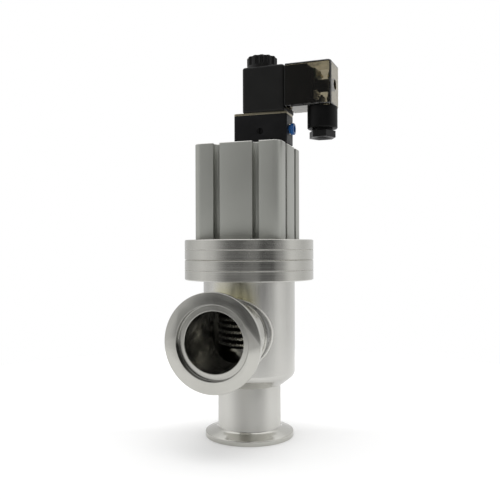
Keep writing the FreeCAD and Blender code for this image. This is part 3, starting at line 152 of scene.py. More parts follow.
def place_camera():
    lens = bpy.data.cameras.new("photo_camera")
    lens.sensor_width = SENSOR_WIDTH
    lens.lens = FOCAL_LENGTH
    lens.shift_x, lens.shift_y = LENS_SHIFT
    lens.clip_start = 10 * MM
    camera = bpy.data.objects.new("photo_camera", lens)
    bpy.context.scene.collection.objects.link(camera)
    yaw = Matrix.Rotation(math.radians(CAMERA_YAW), 4, "Z")
    pitch = Matrix.Rotation(math.radians(90 + CAMERA_RISE), 4, "X")
    roll = Matrix.Rotation(math.radians(CAMERA_ROLL), 4, "Z")
    stand = Matrix.Translation(Vector(CAMERA_STAND) * MM)
    camera.matrix_world = stand @ yaw @ pitch @ roll
    bpy.context.scene.camera = camera


# Studio: pale floor, soft lamp overhead, white background, and a dim side behind the camera

def grey(level):
    return (level, level, level, 1.0)


def horizon(tree, way):
    """The room round the valve: pale at its sides and back, and dim behind the camera."""
    # Turned so that the camera's direction comes to the middle of the ramp
    facing = add_node(tree, "ShaderNodeMapping", {"vector_type": "POINT"},
                      {"Vector": way, "Rotation": (0, 0, HORIZON_TURN)})
    round_about = add_node(tree, "ShaderNodeTexGradient", {"gradient_type": "RADIAL"},
                           {"Vector": facing.outputs["Vector"]})
    room = add_node(tree, "ShaderNodeValToRGB", None, {"Fac": round_about.outputs["Fac"]})
    ramp = room.color_ramp
    while len(ramp.elements) < len(HORIZON):
        ramp.elements.new(0.5)
    for element, (place, level) in zip(ramp.elements, HORIZON):
        element.position = place
        element.color = grey(level)
    return room.outputs["Color"]


def mirrored_room(tree, way):
    """What metal and clear plastic reflect: the horizon, a pale ceiling and a white table."""
    height = add_node(tree, "ShaderNodeSeparateXYZ", None, {"Vector": way}).outputs["Z"]
    ceiling = between(tree, height, 0.0, 1.0, 0.50, 0.80)
    upper = add_node(tree, "ShaderNodeMix", {"data_type": "RGBA"},
                     {MIX_FACTOR: ceiling, COLOUR_A: horizon(tree, way),
                      COLOUR_B: grey(CEILING_LEVEL)})
    # Beyond the table top the metal still sees a white table
    table = between(tree, height, 0.0, 1.0, -0.08, -0.18)
    room = add_node(tree, "ShaderNodeMix", {"data_type": "RGBA"},
                    {MIX_FACTOR: table, COLOUR_A: upper.outputs[MIXED_COLOUR],
                     COLOUR_B: grey(TABLE_LEVEL)})
    return room.outputs[MIXED_COLOUR]


def make_world():
    world = bpy.data.worlds.new("studio")
    bpy.context.scene.world = world
    world.use_nodes = True
    tree = world.node_tree
    tree.nodes.clear()
    way = add_node(tree, "ShaderNodeTexCoord").outputs["Generated"]
    path = add_node(tree, "ShaderNodeLightPath").outputs
    mirrored = add_node(tree, "ShaderNodeMath", {"operation": "MAXIMUM"},
                        {0: path["Is Glossy Ray"], 1: path["Is Transmission Ray"]})
    plain = add_node(tree, "ShaderNodeMix", {"data_type": "RGBA"},
                     {MIX_FACTOR: mirrored.outputs["Value"], COLOUR_A: grey(ROOM_LEVEL),
                      COLOUR_B: mirrored_room(tree, way)})
    # What is seen through the clear plug is white only on the far side from the photographer
    away = add_node(tree, "ShaderNodeVectorMath", {"operation": "DOT_PRODUCT"},
                    {0: way, 1: AWAY_FROM_CAMERA})
    behind = between(tree, away.outputs["Value"], 0.0, 1.0, 0.0, 0.3)
    through = add_node(tree, "ShaderNodeMath", {"operation": "MULTIPLY"},
                       {0: path["Is Transmission Ray"], 1: behind})
    seen = add_node(tree, "ShaderNodeMath", {"operation": "MAXIMUM"},
                    {0: path["Is Camera Ray"], 1: through.outputs["Value"]})
    lit = add_node(tree, "ShaderNodeBackground", None,
                   {"Color": plain.outputs[MIXED_COLOUR], "Strength": 1.0})
    white = add_node(tree, "ShaderNodeBackground", None, {"Color": grey(1.0), "Strength": 1.0})
    both = add_node(tree, "ShaderNodeMixShader", None,
                    {0: seen.outputs["Value"], 1: lit.outputs["Background"],
                     2: white.outputs["Background"]})
    add_node(tree, "ShaderNodeOutputWorld", None, {"Surface": both.outputs["Shader"]})


def hang_lamp(name, size, energy, stand, target):
    """A round soft lamp of some watts, turned from its stand to its target."""
    lamp = bpy.data.lights.new(name, "AREA")
    lamp.shape = "DISK"
    lamp.size = size * MM
    lamp.energy = energy
    hung = bpy.data.objects.new(name, lamp)
    bpy.context.scene.collection.objects.link(hung)
    aim = (Vector(target) - Vector(stand)).to_track_quat("-Z", "Y")
    hung.matrix_world = Matrix.Translation(Vector(stand) * MM) @ aim.to_matrix().to_4x4()
    return hung


def light_studio():
    make_world()
    overhead = hang_lamp("overhead_softbox", size=900, energy=4.0,
                         stand=(120, -220, 1100), target=(0, 0, 100))
    # Metal mirrors the pale ceiling instead of the lamp itself
    overhead.visible_glossy = False


def lay_floor():
    start_clean()
    bpy.ops.mesh.primitive_circle_add(vertices=96, radius=340 * MM, fill_type="NGON")
    floor = bpy.context.object
    floor.name = "table_top"
    material = blank("white_table")
    tree = material.node_tree
    matt = add_node(tree, "ShaderNodeBsdfDiffuse", None, {"Color": linear("FAFAFA")})
    # For the camera the table is a little brighter than it is lit, and runs into the white behind
    path = add_node(tree, "ShaderNodeLightPath").outputs
    place = add_node(tree, "ShaderNodeTexCoord").outputs["Object"]
    back = add_node(tree, "ShaderNodeVectorMath", {"operation": "DOT_PRODUCT"},
                    {0: place, 1: AWAY_FROM_CAMERA})
    fade = between(tree, back.outputs["Value"], 0.06, 0.24, 5.0 * MM, 35.0 * MM)
    share = add_node(tree, "ShaderNodeMath", {"operation": "MULTIPLY"},
                     {0: path["Is Camera Ray"], 1: fade})
    glow = add_node(tree, "ShaderNodeEmission", None, {"Strength": share.outputs["Value"]})
    both = add_node(tree, "ShaderNodeAddShader", None,
                    {0: matt.outputs["BSDF"], 1: glow.outputs["Emission"]})
    add_node(tree, "ShaderNodeOutputMaterial", None, {"Surface": both.outputs["Shader"]})
    floor.data.materials.append(material)


# Patterns

def from_axis(tree, along, centre=(0, 0, 0)):
    """Radius from a turning axis and height along it, in metres, on Object coordinates."""
    place = add_node(tree, "ShaderNodeTexCoord")
    moved = add_node(tree, "ShaderNodeMapping", None,
                     {"Vector": place.outputs["Object"],
                      "Location": tuple(-value * MM for value in centre)})
    across = tuple(0.0 if name == along else 1.0 for name in "XYZ")
    flat = add_node(tree, "ShaderNodeVectorMath", {"operation": "MULTIPLY"},
                    {0: moved.outputs["Vector"], 1: across})
    radius = add_node(tree, "ShaderNodeVectorMath", {"operation": "LENGTH"},
                      {0: flat.outputs["Vector"]})
    parts = add_node(tree, "ShaderNodeSeparateXYZ", None, {"Vector": moved.outputs["Vector"]})
    return radius.outputs["Value"], parts.outputs[along]


def lathe_marks(tree, along="Z", centre=(0, 0, 0)):
    """Rings left by the turning tool: noise read by radius and height only.

    The real tool marks are about 0.1 mm apart. They are drawn 0.5 mm apart, so that they show.
    """
    spacing = 0.5
    radius, height = from_axis(tree, along, centre)
    spot = add_node(tree, "ShaderNodeCombineXYZ", None, {"X": radius, "Y": height})
    rings = add_node(tree, "ShaderNodeTexNoise", {"noise_dimensions": "2D"},
                     {"Vector": spot.outputs["Vector"], "Scale": 1 / (spacing * MM), "Detail": 3.0,
                      "Roughness": 0.6})
    return rings.outputs["Fac"], radius


def clouds(tree, spacing, stretch=(1, 1, 1), detail=2.0):
    """Slow or fine noise on Object coordinates, one blotch about each spacing in millimetres."""
    place = add_node(tree, "ShaderNodeTexCoord")
    pulled = add_node(tree, "ShaderNodeMapping", None,
                      {"Vector": place.outputs["Object"], "Scale": stretch})
    noise = add_node(tree, "ShaderNodeTexNoise", None,
                     {"Vector": pulled.outputs["Vector"], "Scale": 1 / (spacing * MM), "Detail": detail})
    return noise.outputs["Fac"]


def between(tree, factor, low, high, start=0.3, end=0.7):
    """A number from low to high, as the factor goes from start to end."""
    spread = add_node(tree, "ShaderNodeMapRange", None,
                      {"Value": factor, "From Min": start, "From Max": end, "To Min": low, "To Max": high})
    return spread.outputs["Result"]


def two_tone(tree, factor, first, second):
    mix = add_node(tree, "ShaderNodeMix", {"data_type": "RGBA"},
                   {MIX_FACTOR: factor, COLOUR_A: linear(first), COLOUR_B: linear(second)})
    return mix.outputs[MIXED_COLOUR]


def bumps(tree, height, depth, normal=None):
    """Relief of the given depth in millimetres."""
    sockets = {"Height": height, "Distance": depth * MM, "Strength": 1.0}
    if normal is not None:
        sockets["Normal"] = normal
    return add_node(tree, "ShaderNodeBump", None, sockets).outputs["Normal"]


def finished(material, sockets, tint=None):
    """Closes a material with its Principled shader, and with a tinted inside where it is clear."""
    tree = material.node_tree
    shader = add_node(tree, "ShaderNodeBsdfPrincipled", None, sockets)
    ends = {"Surface": shader.outputs["BSDF"]}
    if tint:
        colour, density = tint
        inside = add_node(tree, "ShaderNodeVolumeAbsorption", None, {"Color": colour, "Density": density})
        ends["Volume"] = inside.outputs["Volume"]
    add_node(tree, "ShaderNodeOutputMaterial", None, ends)
    return material


def blank(name):
    material = bpy.data.materials.new(name)
    material.use_nodes = True
    material.node_tree.nodes.clear()
    return material


# Masks: where the finish of a piece changes

def bonnet_lines(tree):
    """1 on the turned lines and broken edges of both bonnet flanges, which are evenly spaced.

    The edge just above their joint stays out, so that the joint has its thin dark line.
    """
    radius, height = from_axis(tree, "Z", (0, 0, BONNET_LOW))
    half_width = 0.30
    faded_out = 0.45
    off_line = add_node(tree, "ShaderNodeMath", {"operation": "PINGPONG"},
                        {0: height, 1: LINE_SPACING / 2 * MM})
    on_line = between(tree, off_line.outputs["Value"], 1.0, 0.0, half_width * MM, faded_out * MM)
    outside = between(tree, radius, 0.0, 1.0, (BONNET_RADIUS - 0.8) * MM, (BONNET_RADIUS - 0.6) * MM)
    over_joint = add_node(tree, "ShaderNodeMath", {"operation": "COMPARE"},
                          {0: height, 1: (2 * LINE_SPACING + half_width) * MM, 2: 0.29 * MM})
    both = add_node(tree, "ShaderNodeMath", {"operation": "MULTIPLY"}, {0: on_line, 1: outside})
    lines = add_node(tree, "ShaderNodeMath", {"operation": "SUBTRACT", "use_clamp": True},
                     {0: both.outputs["Value"], 1: over_joint.outputs["Value"]})
    return lines.outputs["Value"]


def recess_wall_painted_shade(tree):
    """1 on the wall of the side port's recess, which was turned finer than its face, and whose dark tone
    is painted shade.
    """
    radius, _ = from_axis(tree, "Y", (0, 0, SIDE_HEIGHT))
    off_wall = add_node(tree, "ShaderNodeMath", {"operation": "COMPARE"},
                        {0: radius, 1: RECESS_RADIUS * MM, 2: 0.15 * MM})
    return off_wall.outputs["Value"]


def brushed_neck_painted_light(tree):
    """1 on the brushed neck above the polished clamp flange, which is rougher there, and whose lighter
    tone is painted light against the side port's shade.
    """
    _, height = from_axis(tree, "Z")
    return between(tree, height, 0.0, 1.0, 6.0 * MM, 7.5 * MM)


def weld_heat(tree):
    """How far the weld of the side neck has coloured the tube straw, up to the flange above it."""
    radius, reach = from_axis(tree, "Y", (0, 0, SIDE_HEIGHT))
    _, height = from_axis(tree, "Z")
    near = between(tree, radius, 0.8, 0.1, (NECK_RADIUS + 1.5) * MM, (NECK_RADIUS + 16.0) * MM)
    front = between(tree, reach, 1.0, 0.0, -27.0 * MM, -24.0 * MM)
    above = between(tree, height, 0.0, 1.0, 77.0 * MM, 86.0 * MM)
    part = add_node(tree, "ShaderNodeMath", {"operation": "MULTIPLY"}, {0: near, 1: front})
    heat = add_node(tree, "ShaderNodeMath", {"operation": "MULTIPLY"},
                    {0: part.outputs["Value"], 1: above})
    return heat.outputs["Value"]


def bellows_painted_fold_shade(tree):
    """1 on the crests of the bellows, and 0 down in the folds, which take a painted shade."""
    radius, _ = from_axis(tree, "Z")
    return between(tree, radius, 0.0, 1.0, (BELLOWS_CREST - 2.2) * MM, (BELLOWS_CREST - 0.6) * MM)


def bare_end(tree):
    """1 at the top of the barrel, where it was cut to length after it was anodised."""
    _, height = from_axis(tree, "Z")
    return between(tree, height, 0.0, 1.0,
                   (BARREL_TOP - CUT_EDGE) * MM, (BARREL_TOP - 0.7 * CUT_EDGE) * MM)


# Materials

def turned_stainless(name, roughness, along="Z", centre=(0, 0, 0), dish=0.0, tone="C3C2BC", matt=None):
    """Stainless steel off the lathe: satin, with reflections drawn out across its fine rings.

    Where the mask that comes first in matt is 1, the steel has matt's tone and roughness. On the recess
    wall that tone is painted shade, and on the neck above the clamp rim its lighter tone is painted light.
    """
    material = blank(name)
    tree = material.node_tree
    rings, radius = lathe_marks(tree, along, centre)
    wear = clouds(tree, 14.0)
    normal = bumps(tree, rings, 0.010)
    if dish:
        # A facing cut leaves the face a little domed, which fans its reflections. Its fall is in metres
        fall = add_node(tree, "ShaderNodeMath", {"operation": "MULTIPLY"}, {0: radius, 1: -dish})
        normal = bumps(tree, fall.outputs["Value"], 1 / MM, normal)
    shine = add_node(tree, "ShaderNodeMath", {"operation": "ADD"},
                     {0: between(tree, rings, roughness - 0.04, roughness + 0.05),
                      1: between(tree, wear, -0.02, 0.03)})
    tangent = add_node(tree, "ShaderNodeTangent", {"direction_type": "RADIAL", "axis": along})
    colour = two_tone(tree, wear, tone, "CBCAC4")
    gloss = shine.outputs["Value"]
    if matt:
        mask, matt_tone_and_painted_light, matt_roughness = matt
        where = mask(tree)
        # Where the mask is 1 the tone is partly painted: shade on the recess wall, light on the neck
        colours = add_node(tree, "ShaderNodeMix", {"data_type": "RGBA"},
                           {MIX_FACTOR: where, COLOUR_A: colour, COLOUR_B: linear(matt_tone_and_painted_light)})
        colour = colours.outputs[MIXED_COLOUR]
        shines = add_node(tree, "ShaderNodeMix", {"data_type": "FLOAT"},
                          {MIX_FACTOR: where, NUMBER_A: gloss, NUMBER_B: matt_roughness})
        gloss = shines.outputs[MIXED_NUMBER]
    return finished(material, {
        "Base Color": colour, "Metallic": 1.0,
        "Roughness": gloss, "Anisotropic": 0.6, "Anisotropic Rotation": 0.25,
        "Tangent": tangent.outputs["Tangent"], "Normal": normal})


def drawn_stainless(name):
    """Stainless tube, polished by belt: softer than the turned flanges, with long faint streaks.

    The belt ran round the tube, which draws the reflections out upwards and keeps them apart.
    """
    material = blank(name)
    tree = material.node_tree
    streaks = clouds(tree, 0.8, (1, 1, 0.06))
    blotches = clouds(tree, 22.0)
    shine = add_node(tree, "ShaderNodeMath", {"operation": "ADD"},
                     {0: between(tree, streaks, 0.21, 0.25), 1: between(tree, blotches, -0.01, 0.02)})
    colour = add_node(tree, "ShaderNodeMix", {"data_type": "RGBA"},
                      {MIX_FACTOR: weld_heat(tree), COLOUR_B: linear("BDB78C"),
                       COLOUR_A: two_tone(tree, blotches, "CBCAC5", "D2D1CD")})
    tangent = add_node(tree, "ShaderNodeTangent", {"direction_type": "RADIAL", "axis": "Z"})
    return finished(material, {
        "Base Color": colour.outputs[MIXED_COLOUR], "Metallic": 1.0,
        "Roughness": shine.outputs["Value"], "Anisotropic": 0.6, "Anisotropic Rotation": 0.25,
        "Tangent": tangent.outputs["Tangent"], "Normal": bumps(tree, streaks, 0.003)})


def pressed_stainless(name):
    """Thin stainless sheet, formed into the bellows: bright crests, and roots darkened with painted shade.
    """
    material = blank(name)
    tree = material.node_tree
    marks = clouds(tree, 1.2, (1, 1, 3))
    # The dark tone 45433B in the folds is painted shade
    colour = add_node(tree, "ShaderNodeMix", {"data_type": "RGBA"},
                      {MIX_FACTOR: bellows_painted_fold_shade(tree), COLOUR_A: linear("45433B"),
                       COLOUR_B: two_tone(tree, marks, "D3D1C8", "E2E0D8")})
    return finished(material, {
        "Base Color": colour.outputs[MIXED_COLOUR], "Metallic": 1.0,
        "Roughness": between(tree, marks, 0.24, 0.30), "Normal": bumps(tree, marks, 0.001)})


def anodised_aluminium(name):
    """Aluminium extrusion, pickled and clear anodised: an even matt grey with faint die lines.

    It was cut to length afterwards, so its ends and their broken edges are bright bare metal.
    """
    material = blank(name)
    tree = material.node_tree
    die_lines = clouds(tree, 0.7, (1, 1, 0.02))
    frosting = clouds(tree, 0.25)
    blotches = clouds(tree, 30.0)
    relief = bumps(tree, frosting, 0.012, bumps(tree, die_lines, 0.012))
    shine = add_node(tree, "ShaderNodeMath", {"operation": "ADD"},
                     {0: between(tree, frosting, 0.42, 0.54), 1: between(tree, blotches, -0.02, 0.02)})
    bare = bare_end(tree)
    colour = add_node(tree, "ShaderNodeMix", {"data_type": "RGBA"},
                      {MIX_FACTOR: bare, COLOUR_B: linear("F0EFEA"),
                       COLOUR_A: two_tone(tree, blotches, "AEAFA9", "B8B9B3")})
    roughness = add_node(tree, "ShaderNodeMix", {"data_type": "FLOAT"},
                         {MIX_FACTOR: bare, NUMBER_A: shine.outputs["Value"], NUMBER_B: 0.35})
    return finished(material, {
        "Base Color": colour.outputs[MIXED_COLOUR], "Metallic": 0.92,
        "Roughness": roughness.outputs[MIXED_NUMBER], "Normal": relief})


def milled_aluminium(name):
    """Turned aluminium of the inner pieces: brighter than the anodised barrel."""
    material = blank(name)
    tree = material.node_tree
    rings, _ = lathe_marks(tree)
    return finished(material, {
        "Base Color": two_tone(tree, rings, "C4C5C6", "D4D5D6"), "Metallic": 1.0,
        "Roughness": between(tree, rings, 0.26, 0.38), "Normal": bumps(tree, rings, 0.008)})


def moulded_black(name, code, lighter, roughness, grain, gloss=0.2):
    """Glass-filled nylon out of a spark-eroded mould: dark, with a fine even grain.

    The grain of such a mould is about 0.1 mm and is drawn coarser, so that it shows.
    """
    material = blank(name)
    tree = material.node_tree
    fine = clouds(tree, grain, detail=3.0)
    slow = clouds(tree, 9.0)
    shine = add_node(tree, "ShaderNodeMath", {"operation": "ADD"},
                     {0: between(tree, fine, roughness - 0.06, roughness + 0.08),
                      1: between(tree, slow, -0.03, 0.04)})
    return finished(material, {
        "Base Color": two_tone(tree, slow, code, lighter), "Roughness": shine.outputs["Value"],
        "IOR": 1.53, "Specular IOR Level": gloss, "Normal": bumps(tree, fine, 0.03)})


def smoked_polycarbonate(name):
    """Clear polycarbonate with a brown smoke tint: glossy, tan through a wall and dark along it."""
    material = blank(name)
    tree = material.node_tree
    ripple = clouds(tree, 6.0)
    return finished(material, {
        "Base Color": two_tone(tree, ripple, "F4F2EC", "FCFBF8"), "Transmission Weight": 1.0,
        "Roughness": between(tree, ripple, 0.02, 0.05), "IOR": 1.585, "Specular IOR Level": 0.15,
        "Normal": bumps(tree, ripple, 0.012)}, ((0.45, 0.40, 0.25, 1.0), 900.0))


def blue_acetal(name):
    """Blue acetal: smooth, slightly waxy."""
    material = blank(name)
    tree = material.node_tree
    slow = clouds(tree, 2.5)
    fine = clouds(tree, 0.3)
    return finished(material, {
        "Base Color": two_tone(tree, slow, "0A4C8C", "0E579C"), "IOR": 1.48,
        "Roughness": between(tree, fine, 0.28, 0.40), "Subsurface Weight": 0.05,
        "Subsurface Radius": (1.0 * MM, 1.0 * MM, 2.0 * MM), "Normal": bumps(tree, fine, 0.01)})


def plated_steel(name, code, other, roughness):
    """Steel of screws and sheet, plated or passivated: satin, with a faint cast in patches."""
    material = blank(name)
    tree = material.node_tree
    patches = clouds(tree, 5.0)
    fine = clouds(tree, 0.4)
    return finished(material, {
        "Base Color": two_tone(tree, patches, code, other), "Metallic": 1.0,
        "Roughness": between(tree, fine, roughness - 0.05, roughness + 0.07),
        "Normal": bumps(tree, fine, 0.010)})


def nitrile_rubber(name):
    """Black nitrile rubber: matt, with a slight bloom."""
    material = blank(name)
    tree = material.node_tree
    bloom = clouds(tree, 3.0)
    return finished(material, {
        "Base Color": two_tone(tree, bloom, "171717", "222221"), "IOR": 1.52,
        "Roughness": between(tree, bloom, 0.60, 0.75), "Normal": bumps(tree, bloom, 0.02)})


def solid_metal(name, code, other, roughness):
    """Bronze, brass, magnet or spring steel, drawn or sintered: an even metal with small specks."""
    material = blank(name)
    tree = material.node_tree
    specks = clouds(tree, 0.6)
    return finished(material, {
        "Base Color": two_tone(tree, specks, code, other), "Metallic": 1.0,
        "Roughness": between(tree, specks, roughness - 0.05, roughness + 0.07),
        "Normal": bumps(tree, specks, 0.008)})


def board_laminate(name):
    """Green glass laminate with solder mask: glossy over a fine weave."""
    material = blank(name)
    tree = material.node_tree
    weave = clouds(tree, 0.5)
    return finished(material, {
        "Base Color": two_tone(tree, weave, "1F3A26", "2A4C33"), "IOR": 1.5,
        "Roughness": between(tree, weave, 0.25, 0.40), "Normal": bumps(tree, weave, 0.02)})


def lamp_resin(name):
    """Clear epoxy of a small lamp, faintly yellow and unlit."""
    material = blank(name)
    tree = material.node_tree
    haze = clouds(tree, 1.0)
    return finished(material, {
        "Base Color": two_tone(tree, haze, "E9E3C4", "F2EEDA"), "Transmission Weight": 0.6,
        "Roughness": between(tree, haze, 0.12, 0.25), "IOR": 1.54})


def make_materials():
    return {
        "bonnet": turned_stainless("turned_stainless_bonnet", roughness=0.16,
                                   matt=(bonnet_lines, "D2D1CC", 0.50)),
        "turned": turned_stainless("turned_stainless_steel", roughness=0.17),
        # The neck's lighter tone DDDCD7 is painted light
        "bottom": turned_stainless("turned_stainless_bottom_flange", roughness=0.18,
                                   matt=(brushed_neck_painted_light, "DDDCD7", 0.45)),
        # The recess wall's dark tone 7C7C79 is painted shade
        "side": turned_stainless("turned_stainless_side_flange", roughness=0.20,
                                 along="Y", centre=(0, 0, SIDE_HEIGHT), dish=0.16,
                                 tone="BBBAB4", matt=(recess_wall_painted_shade, "7C7C79", 0.06)),
        "tube": drawn_stainless("belt_polished_stainless_tube"),
        "bellows": pressed_stainless("formed_stainless_sheet"),
        "anodised": anodised_aluminium("clear_anodised_aluminium"),
        "aluminium": milled_aluminium("turned_aluminium"),
        "base": moulded_black("glass_filled_nylon_base", "0E0E0F", "121213", roughness=0.42, grain=0.45),
        "coil": moulded_black("glass_filled_nylon_coil", "111110", "161615", roughness=0.48, grain=0.55),
        "gland": moulded_black("glass_filled_nylon_gland", "090909", "0D0D0D",
                               roughness=0.40, grain=0.45, gloss=0.12),
        "nut": moulded_black("glass_filled_nylon_nuts", "0C0C0C", "121211",
                             roughness=0.30, grain=0.45, gloss=0.34),
        "insert": moulded_black("glass_filled_nylon_insert", "050505", "080808",
                                roughness=0.60, grain=0.50, gloss=0.1),
        "clear": smoked_polycarbonate("smoked_polycarbonate"),
        "blue": blue_acetal("blue_acetal"),
        "plate": plated_steel("zinc_plated_steel_sheet", "9D957F", "ABA48F", roughness=0.34),
        "screw": plated_steel("zinc_plated_screw_steel", "A8A8A8", "B4B2AA", roughness=0.28),
        "socket_screw": plated_steel("stainless_screw_steel", "A5A5A2", "B2B1AD", roughness=0.26),
        "rubber": nitrile_rubber("nitrile_rubber"),
        "bronze": solid_metal("sintered_bronze", "9A6B3A", "AB7B47", roughness=0.40),
        "brass": solid_metal("tinned_brass", "B6A98A", "C6BCA0", roughness=0.30),
        "spring": solid_metal("spring_steel", "8E8E8C", "A0A09D", roughness=0.28),
        "magnet": solid_metal("sintered_magnet", "3A3A3B", "474748", roughness=0.45),
        "board": board_laminate("glass_laminate_board"),
        "resin": lamp_resin("clear_epoxy_lamp"),
    }


FINISH_OF_NODE = {
    "bottom_port": "bottom", "side_port": "side", "body_shell": "tube",
    "body_flange": "bonnet", "bonnet_flange": "bonnet", "bonnet_seal": "rubber",
    "bellows_collar": "turned", "guide_bush": "bronze", "rod_seal": "rubber",
    "bonnet_screws": "socket_screw", "tie_screws": "socket_screw", "bellows": "bellows",
    "poppet_disc": "turned", "poppet_seal": "rubber", "stem": "turned",
    "cylinder_barrel": "anodised", "barrel_seal": "rubber", "duct_plug": "brass",
    "piston": "aluminium", "piston_nut": "screw", "return_spring": "spring",
    "piston_seal": "rubber", "magnet_ring": "magnet", "pilot_base": "base",
    "base_gasket": "rubber", "tube_plate": "plate", "pilot_screws": "screw",
    "armature_tube": "turned", "plunger": "turned", "plunger_pad": "rubber",
    "plunger_spring": "spring", "tube_seal": "rubber", "coil": "coil",
    "coil_terminals": "brass", "coil_nut": "nut", "connector_gasket": "rubber",
    "connector_housing": "clear", "terminal_insert": "insert", "circuit_board": "board",
    "connector_screw": "screw", "gland_block": "gland", "gland_nut": "nut",
    "gland_grommet": "rubber", "fitting_body": "brass", "fitting_seal": "rubber",
    "release_ring": "blue", "override_screw": "gland",
}


# How far the sharp edges of the larger visible pieces are broken, and the slot of each
EDGED = {
    "side_port": (0.35, "stainless_turned"),
    "bottom_port": (0.35, "stainless_turned"),
    "cylinder_barrel": (0.50, "anodised_aluminium"),
    "pilot_base": (0.30, "black_base"),
    "tube_plate": (0.15, "zinc_steel"),
    "coil": (0.30, "black_coil"),
}
SHARP_ANGLE = math.radians(28.0)


def paint_nodes(finishes):
    for name, node in nodes.items():
        node.data.materials.clear()
        node.data.materials.append(finishes[FINISH_OF_NODE[name]])


# Modelling

MERGE_WITHIN = 0.001 * MM


def start_clean():
    bpy.ops.object.select_all(action="DESELECT")


def tidy_shell(smooth_below=35.0):
    """Closes the shape in hand, turns its faces outwards and smooths its soft edges."""
    bpy.ops.object.mode_set(mode="EDIT")
    bpy.ops.mesh.select_all(action="SELECT")
    bpy.ops.mesh.remove_doubles(threshold=MERGE_WITHIN)
    bpy.ops.mesh.normals_make_consistent(inside=False)
    bpy.ops.object.mode_set(mode="OBJECT")
    bpy.ops.object.shade_smooth_by_angle(angle=math.radians(smooth_below))


def settle():
    """Puts the place of the piece in hand into its mesh."""
    bpy.ops.object.transform_apply(location=True, rotation=True, scale=True)


def turn_shape(name, outline, sides, ends=()):
    """A turned shape: a ring is drawn out through (radius, height) corners in millimetres."""
    start_clean()
    first_radius, first_height = outline[0]
    bpy.ops.mesh.primitive_circle_add(vertices=sides, radius=first_radius * MM,
                                      location=(0, 0, first_height * MM))
    piece = bpy.context.object
    piece.name = name
    bpy.ops.object.mode_set(mode="EDIT")
    if "first" in ends:
        bpy.ops.mesh.edge_face_add()
    radius, height = first_radius, first_height
    for next_radius, next_height in outline[1:]:
        rise = (next_height - height) * MM
        bpy.ops.mesh.extrude_edges_move(TRANSFORM_OT_translate={"value": (0, 0, rise)})
        share = next_radius / radius
        bpy.ops.transform.resize(value=(share, share, 1), center_override=(0, 0, next_height * MM))
        radius, height = next_radius, next_height
    if "last" in ends:
        bpy.ops.mesh.edge_face_add()
    bpy.ops.object.mode_set(mode="OBJECT")
    settle()
    tidy_shell()
    return piece


def break_edges(name, width):
    """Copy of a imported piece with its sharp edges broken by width, so that they catch the light."""
    start_clean()
    whole = nodes[name]
    piece = whole.copy()
    piece.data = whole.data.copy()
    bpy.context.scene.collection.objects.link(piece)
    piece.name = name + "_edged"
    piece.parent = None
    piece.select_set(True)
    bpy.context.view_layer.objects.active = piece
    bpy.ops.mesh.customdata_custom_splitnormals_clear()
    bpy.ops.object.mode_set(mode="EDIT")
    bpy.ops.mesh.select_all(action="SELECT")
    bpy.ops.mesh.remove_doubles(threshold=2 * MERGE_WITHIN)
    bpy.ops.mesh.dissolve_limited(angle_limit=math.radians(0.3))
    bpy.ops.object.mode_set(mode="OBJECT")
    bevel = piece.modifiers.new("edges", "BEVEL")
    bevel.width = width * MM
    bevel.segments = 3
    bevel.limit_method = "ANGLE"
    bevel.angle_limit = SHARP_ANGLE
    bevel.use_clamp_overlap = False
    bpy.ops.object.modifier_apply(modifier="edges")
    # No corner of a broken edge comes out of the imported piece's box
    low, high = whole.bound_box[0], whole.bound_box[6]
    for vertex in piece.data.vertices:
        vertex.co = [min(max(value, least), most) for value, least, most in zip(vertex.co, low, high)]
    bpy.ops.object.shade_smooth_by_angle(angle=SHARP_ANGLE)
    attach(piece, "housing")
    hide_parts(name)


def make_edged_pieces():
    for name, (width, slot) in EDGED.items():
        break_edges(name, width)


def bellows_outline():
    """Outer line of the bellows from foot to top, with rounded crests and roots."""
    pitch = (BELLOWS_TOP - BELLOWS_FOOT) / BELLOWS_TURNS
    line = []
    steps = 12
    for step in range(BELLOWS_TURNS * steps + 1):
        # Broad round crests and narrow roots: a rolled wave, lifted where it is low
        turn = 2 * math.pi * step / steps
        rise = (1 - math.cos(turn)) / 2
        line.append((BELLOWS_ROOT + (BELLOWS_CREST - BELLOWS_ROOT) * rise ** 0.5,
                     BELLOWS_FOOT + pitch * turn / (2 * math.pi)))
    return line


def make_bellows(finishes):
    outer = bellows_outline()
    inner = [(radius - BELLOWS_SHEET, height) for radius, height in reversed(outer)]
    piece = turn_shape("formed_bellows", outer + inner + outer[:1], 96)
    piece.data.materials.append(finishes["bellows"])
    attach(piece, "housing")
    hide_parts("bellows")
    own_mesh(piece)
    light_bellows(piece)


def light_bellows(piece):
    """A small lamp that reaches in at the side port, for the folds alone."""
    small = hang_lamp("port_lamp", size=60, energy=2.5,
                      stand=(30, -420, 140), target=(0, -19, 66))
    lit = bpy.data.collections.new("lit_by_port_lamp")
    lit.objects.link(piece)
    small.light_linking.receiver_collection = lit


def make_return_spring(finishes):
    """Coil spring between the piston's cup and the top of the barrel."""
    start_clean()
    first_height = SPRING_LOW + SPRING_WIRE / 2
    bpy.ops.mesh.primitive_circle_add(vertices=12, radius=SPRING_WIRE / 2 * MM,
                                      location=(SPRING_RADIUS * MM, 0, first_height * MM),
                                      rotation=(math.radians(90), 0, 0))
    piece = bpy.context.object
    piece.name = "coiled_return_spring"
    settle()
    coil = piece.modifiers.new("coil", "SCREW")
    coil.steps = 40
    coil.render_steps = 40
    coil.iterations = SPRING_TURNS
    coil.screw_offset = (SPRING_HIGH - SPRING_LOW - SPRING_WIRE) / SPRING_TURNS * MM
    coil.use_smooth_shade = True
    bpy.ops.object.modifier_apply(modifier="coil")
    bpy.ops.object.mode_set(mode="EDIT")
    bpy.ops.mesh.select_all(action="SELECT")
    bpy.ops.mesh.fill_holes(sides=0)
    bpy.ops.object.mode_set(mode="OBJECT")
    tidy_shell()
    piece.data.materials.append(finishes["spring"])
    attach(piece, "housing")
    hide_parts("return_spring")
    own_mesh(piece)


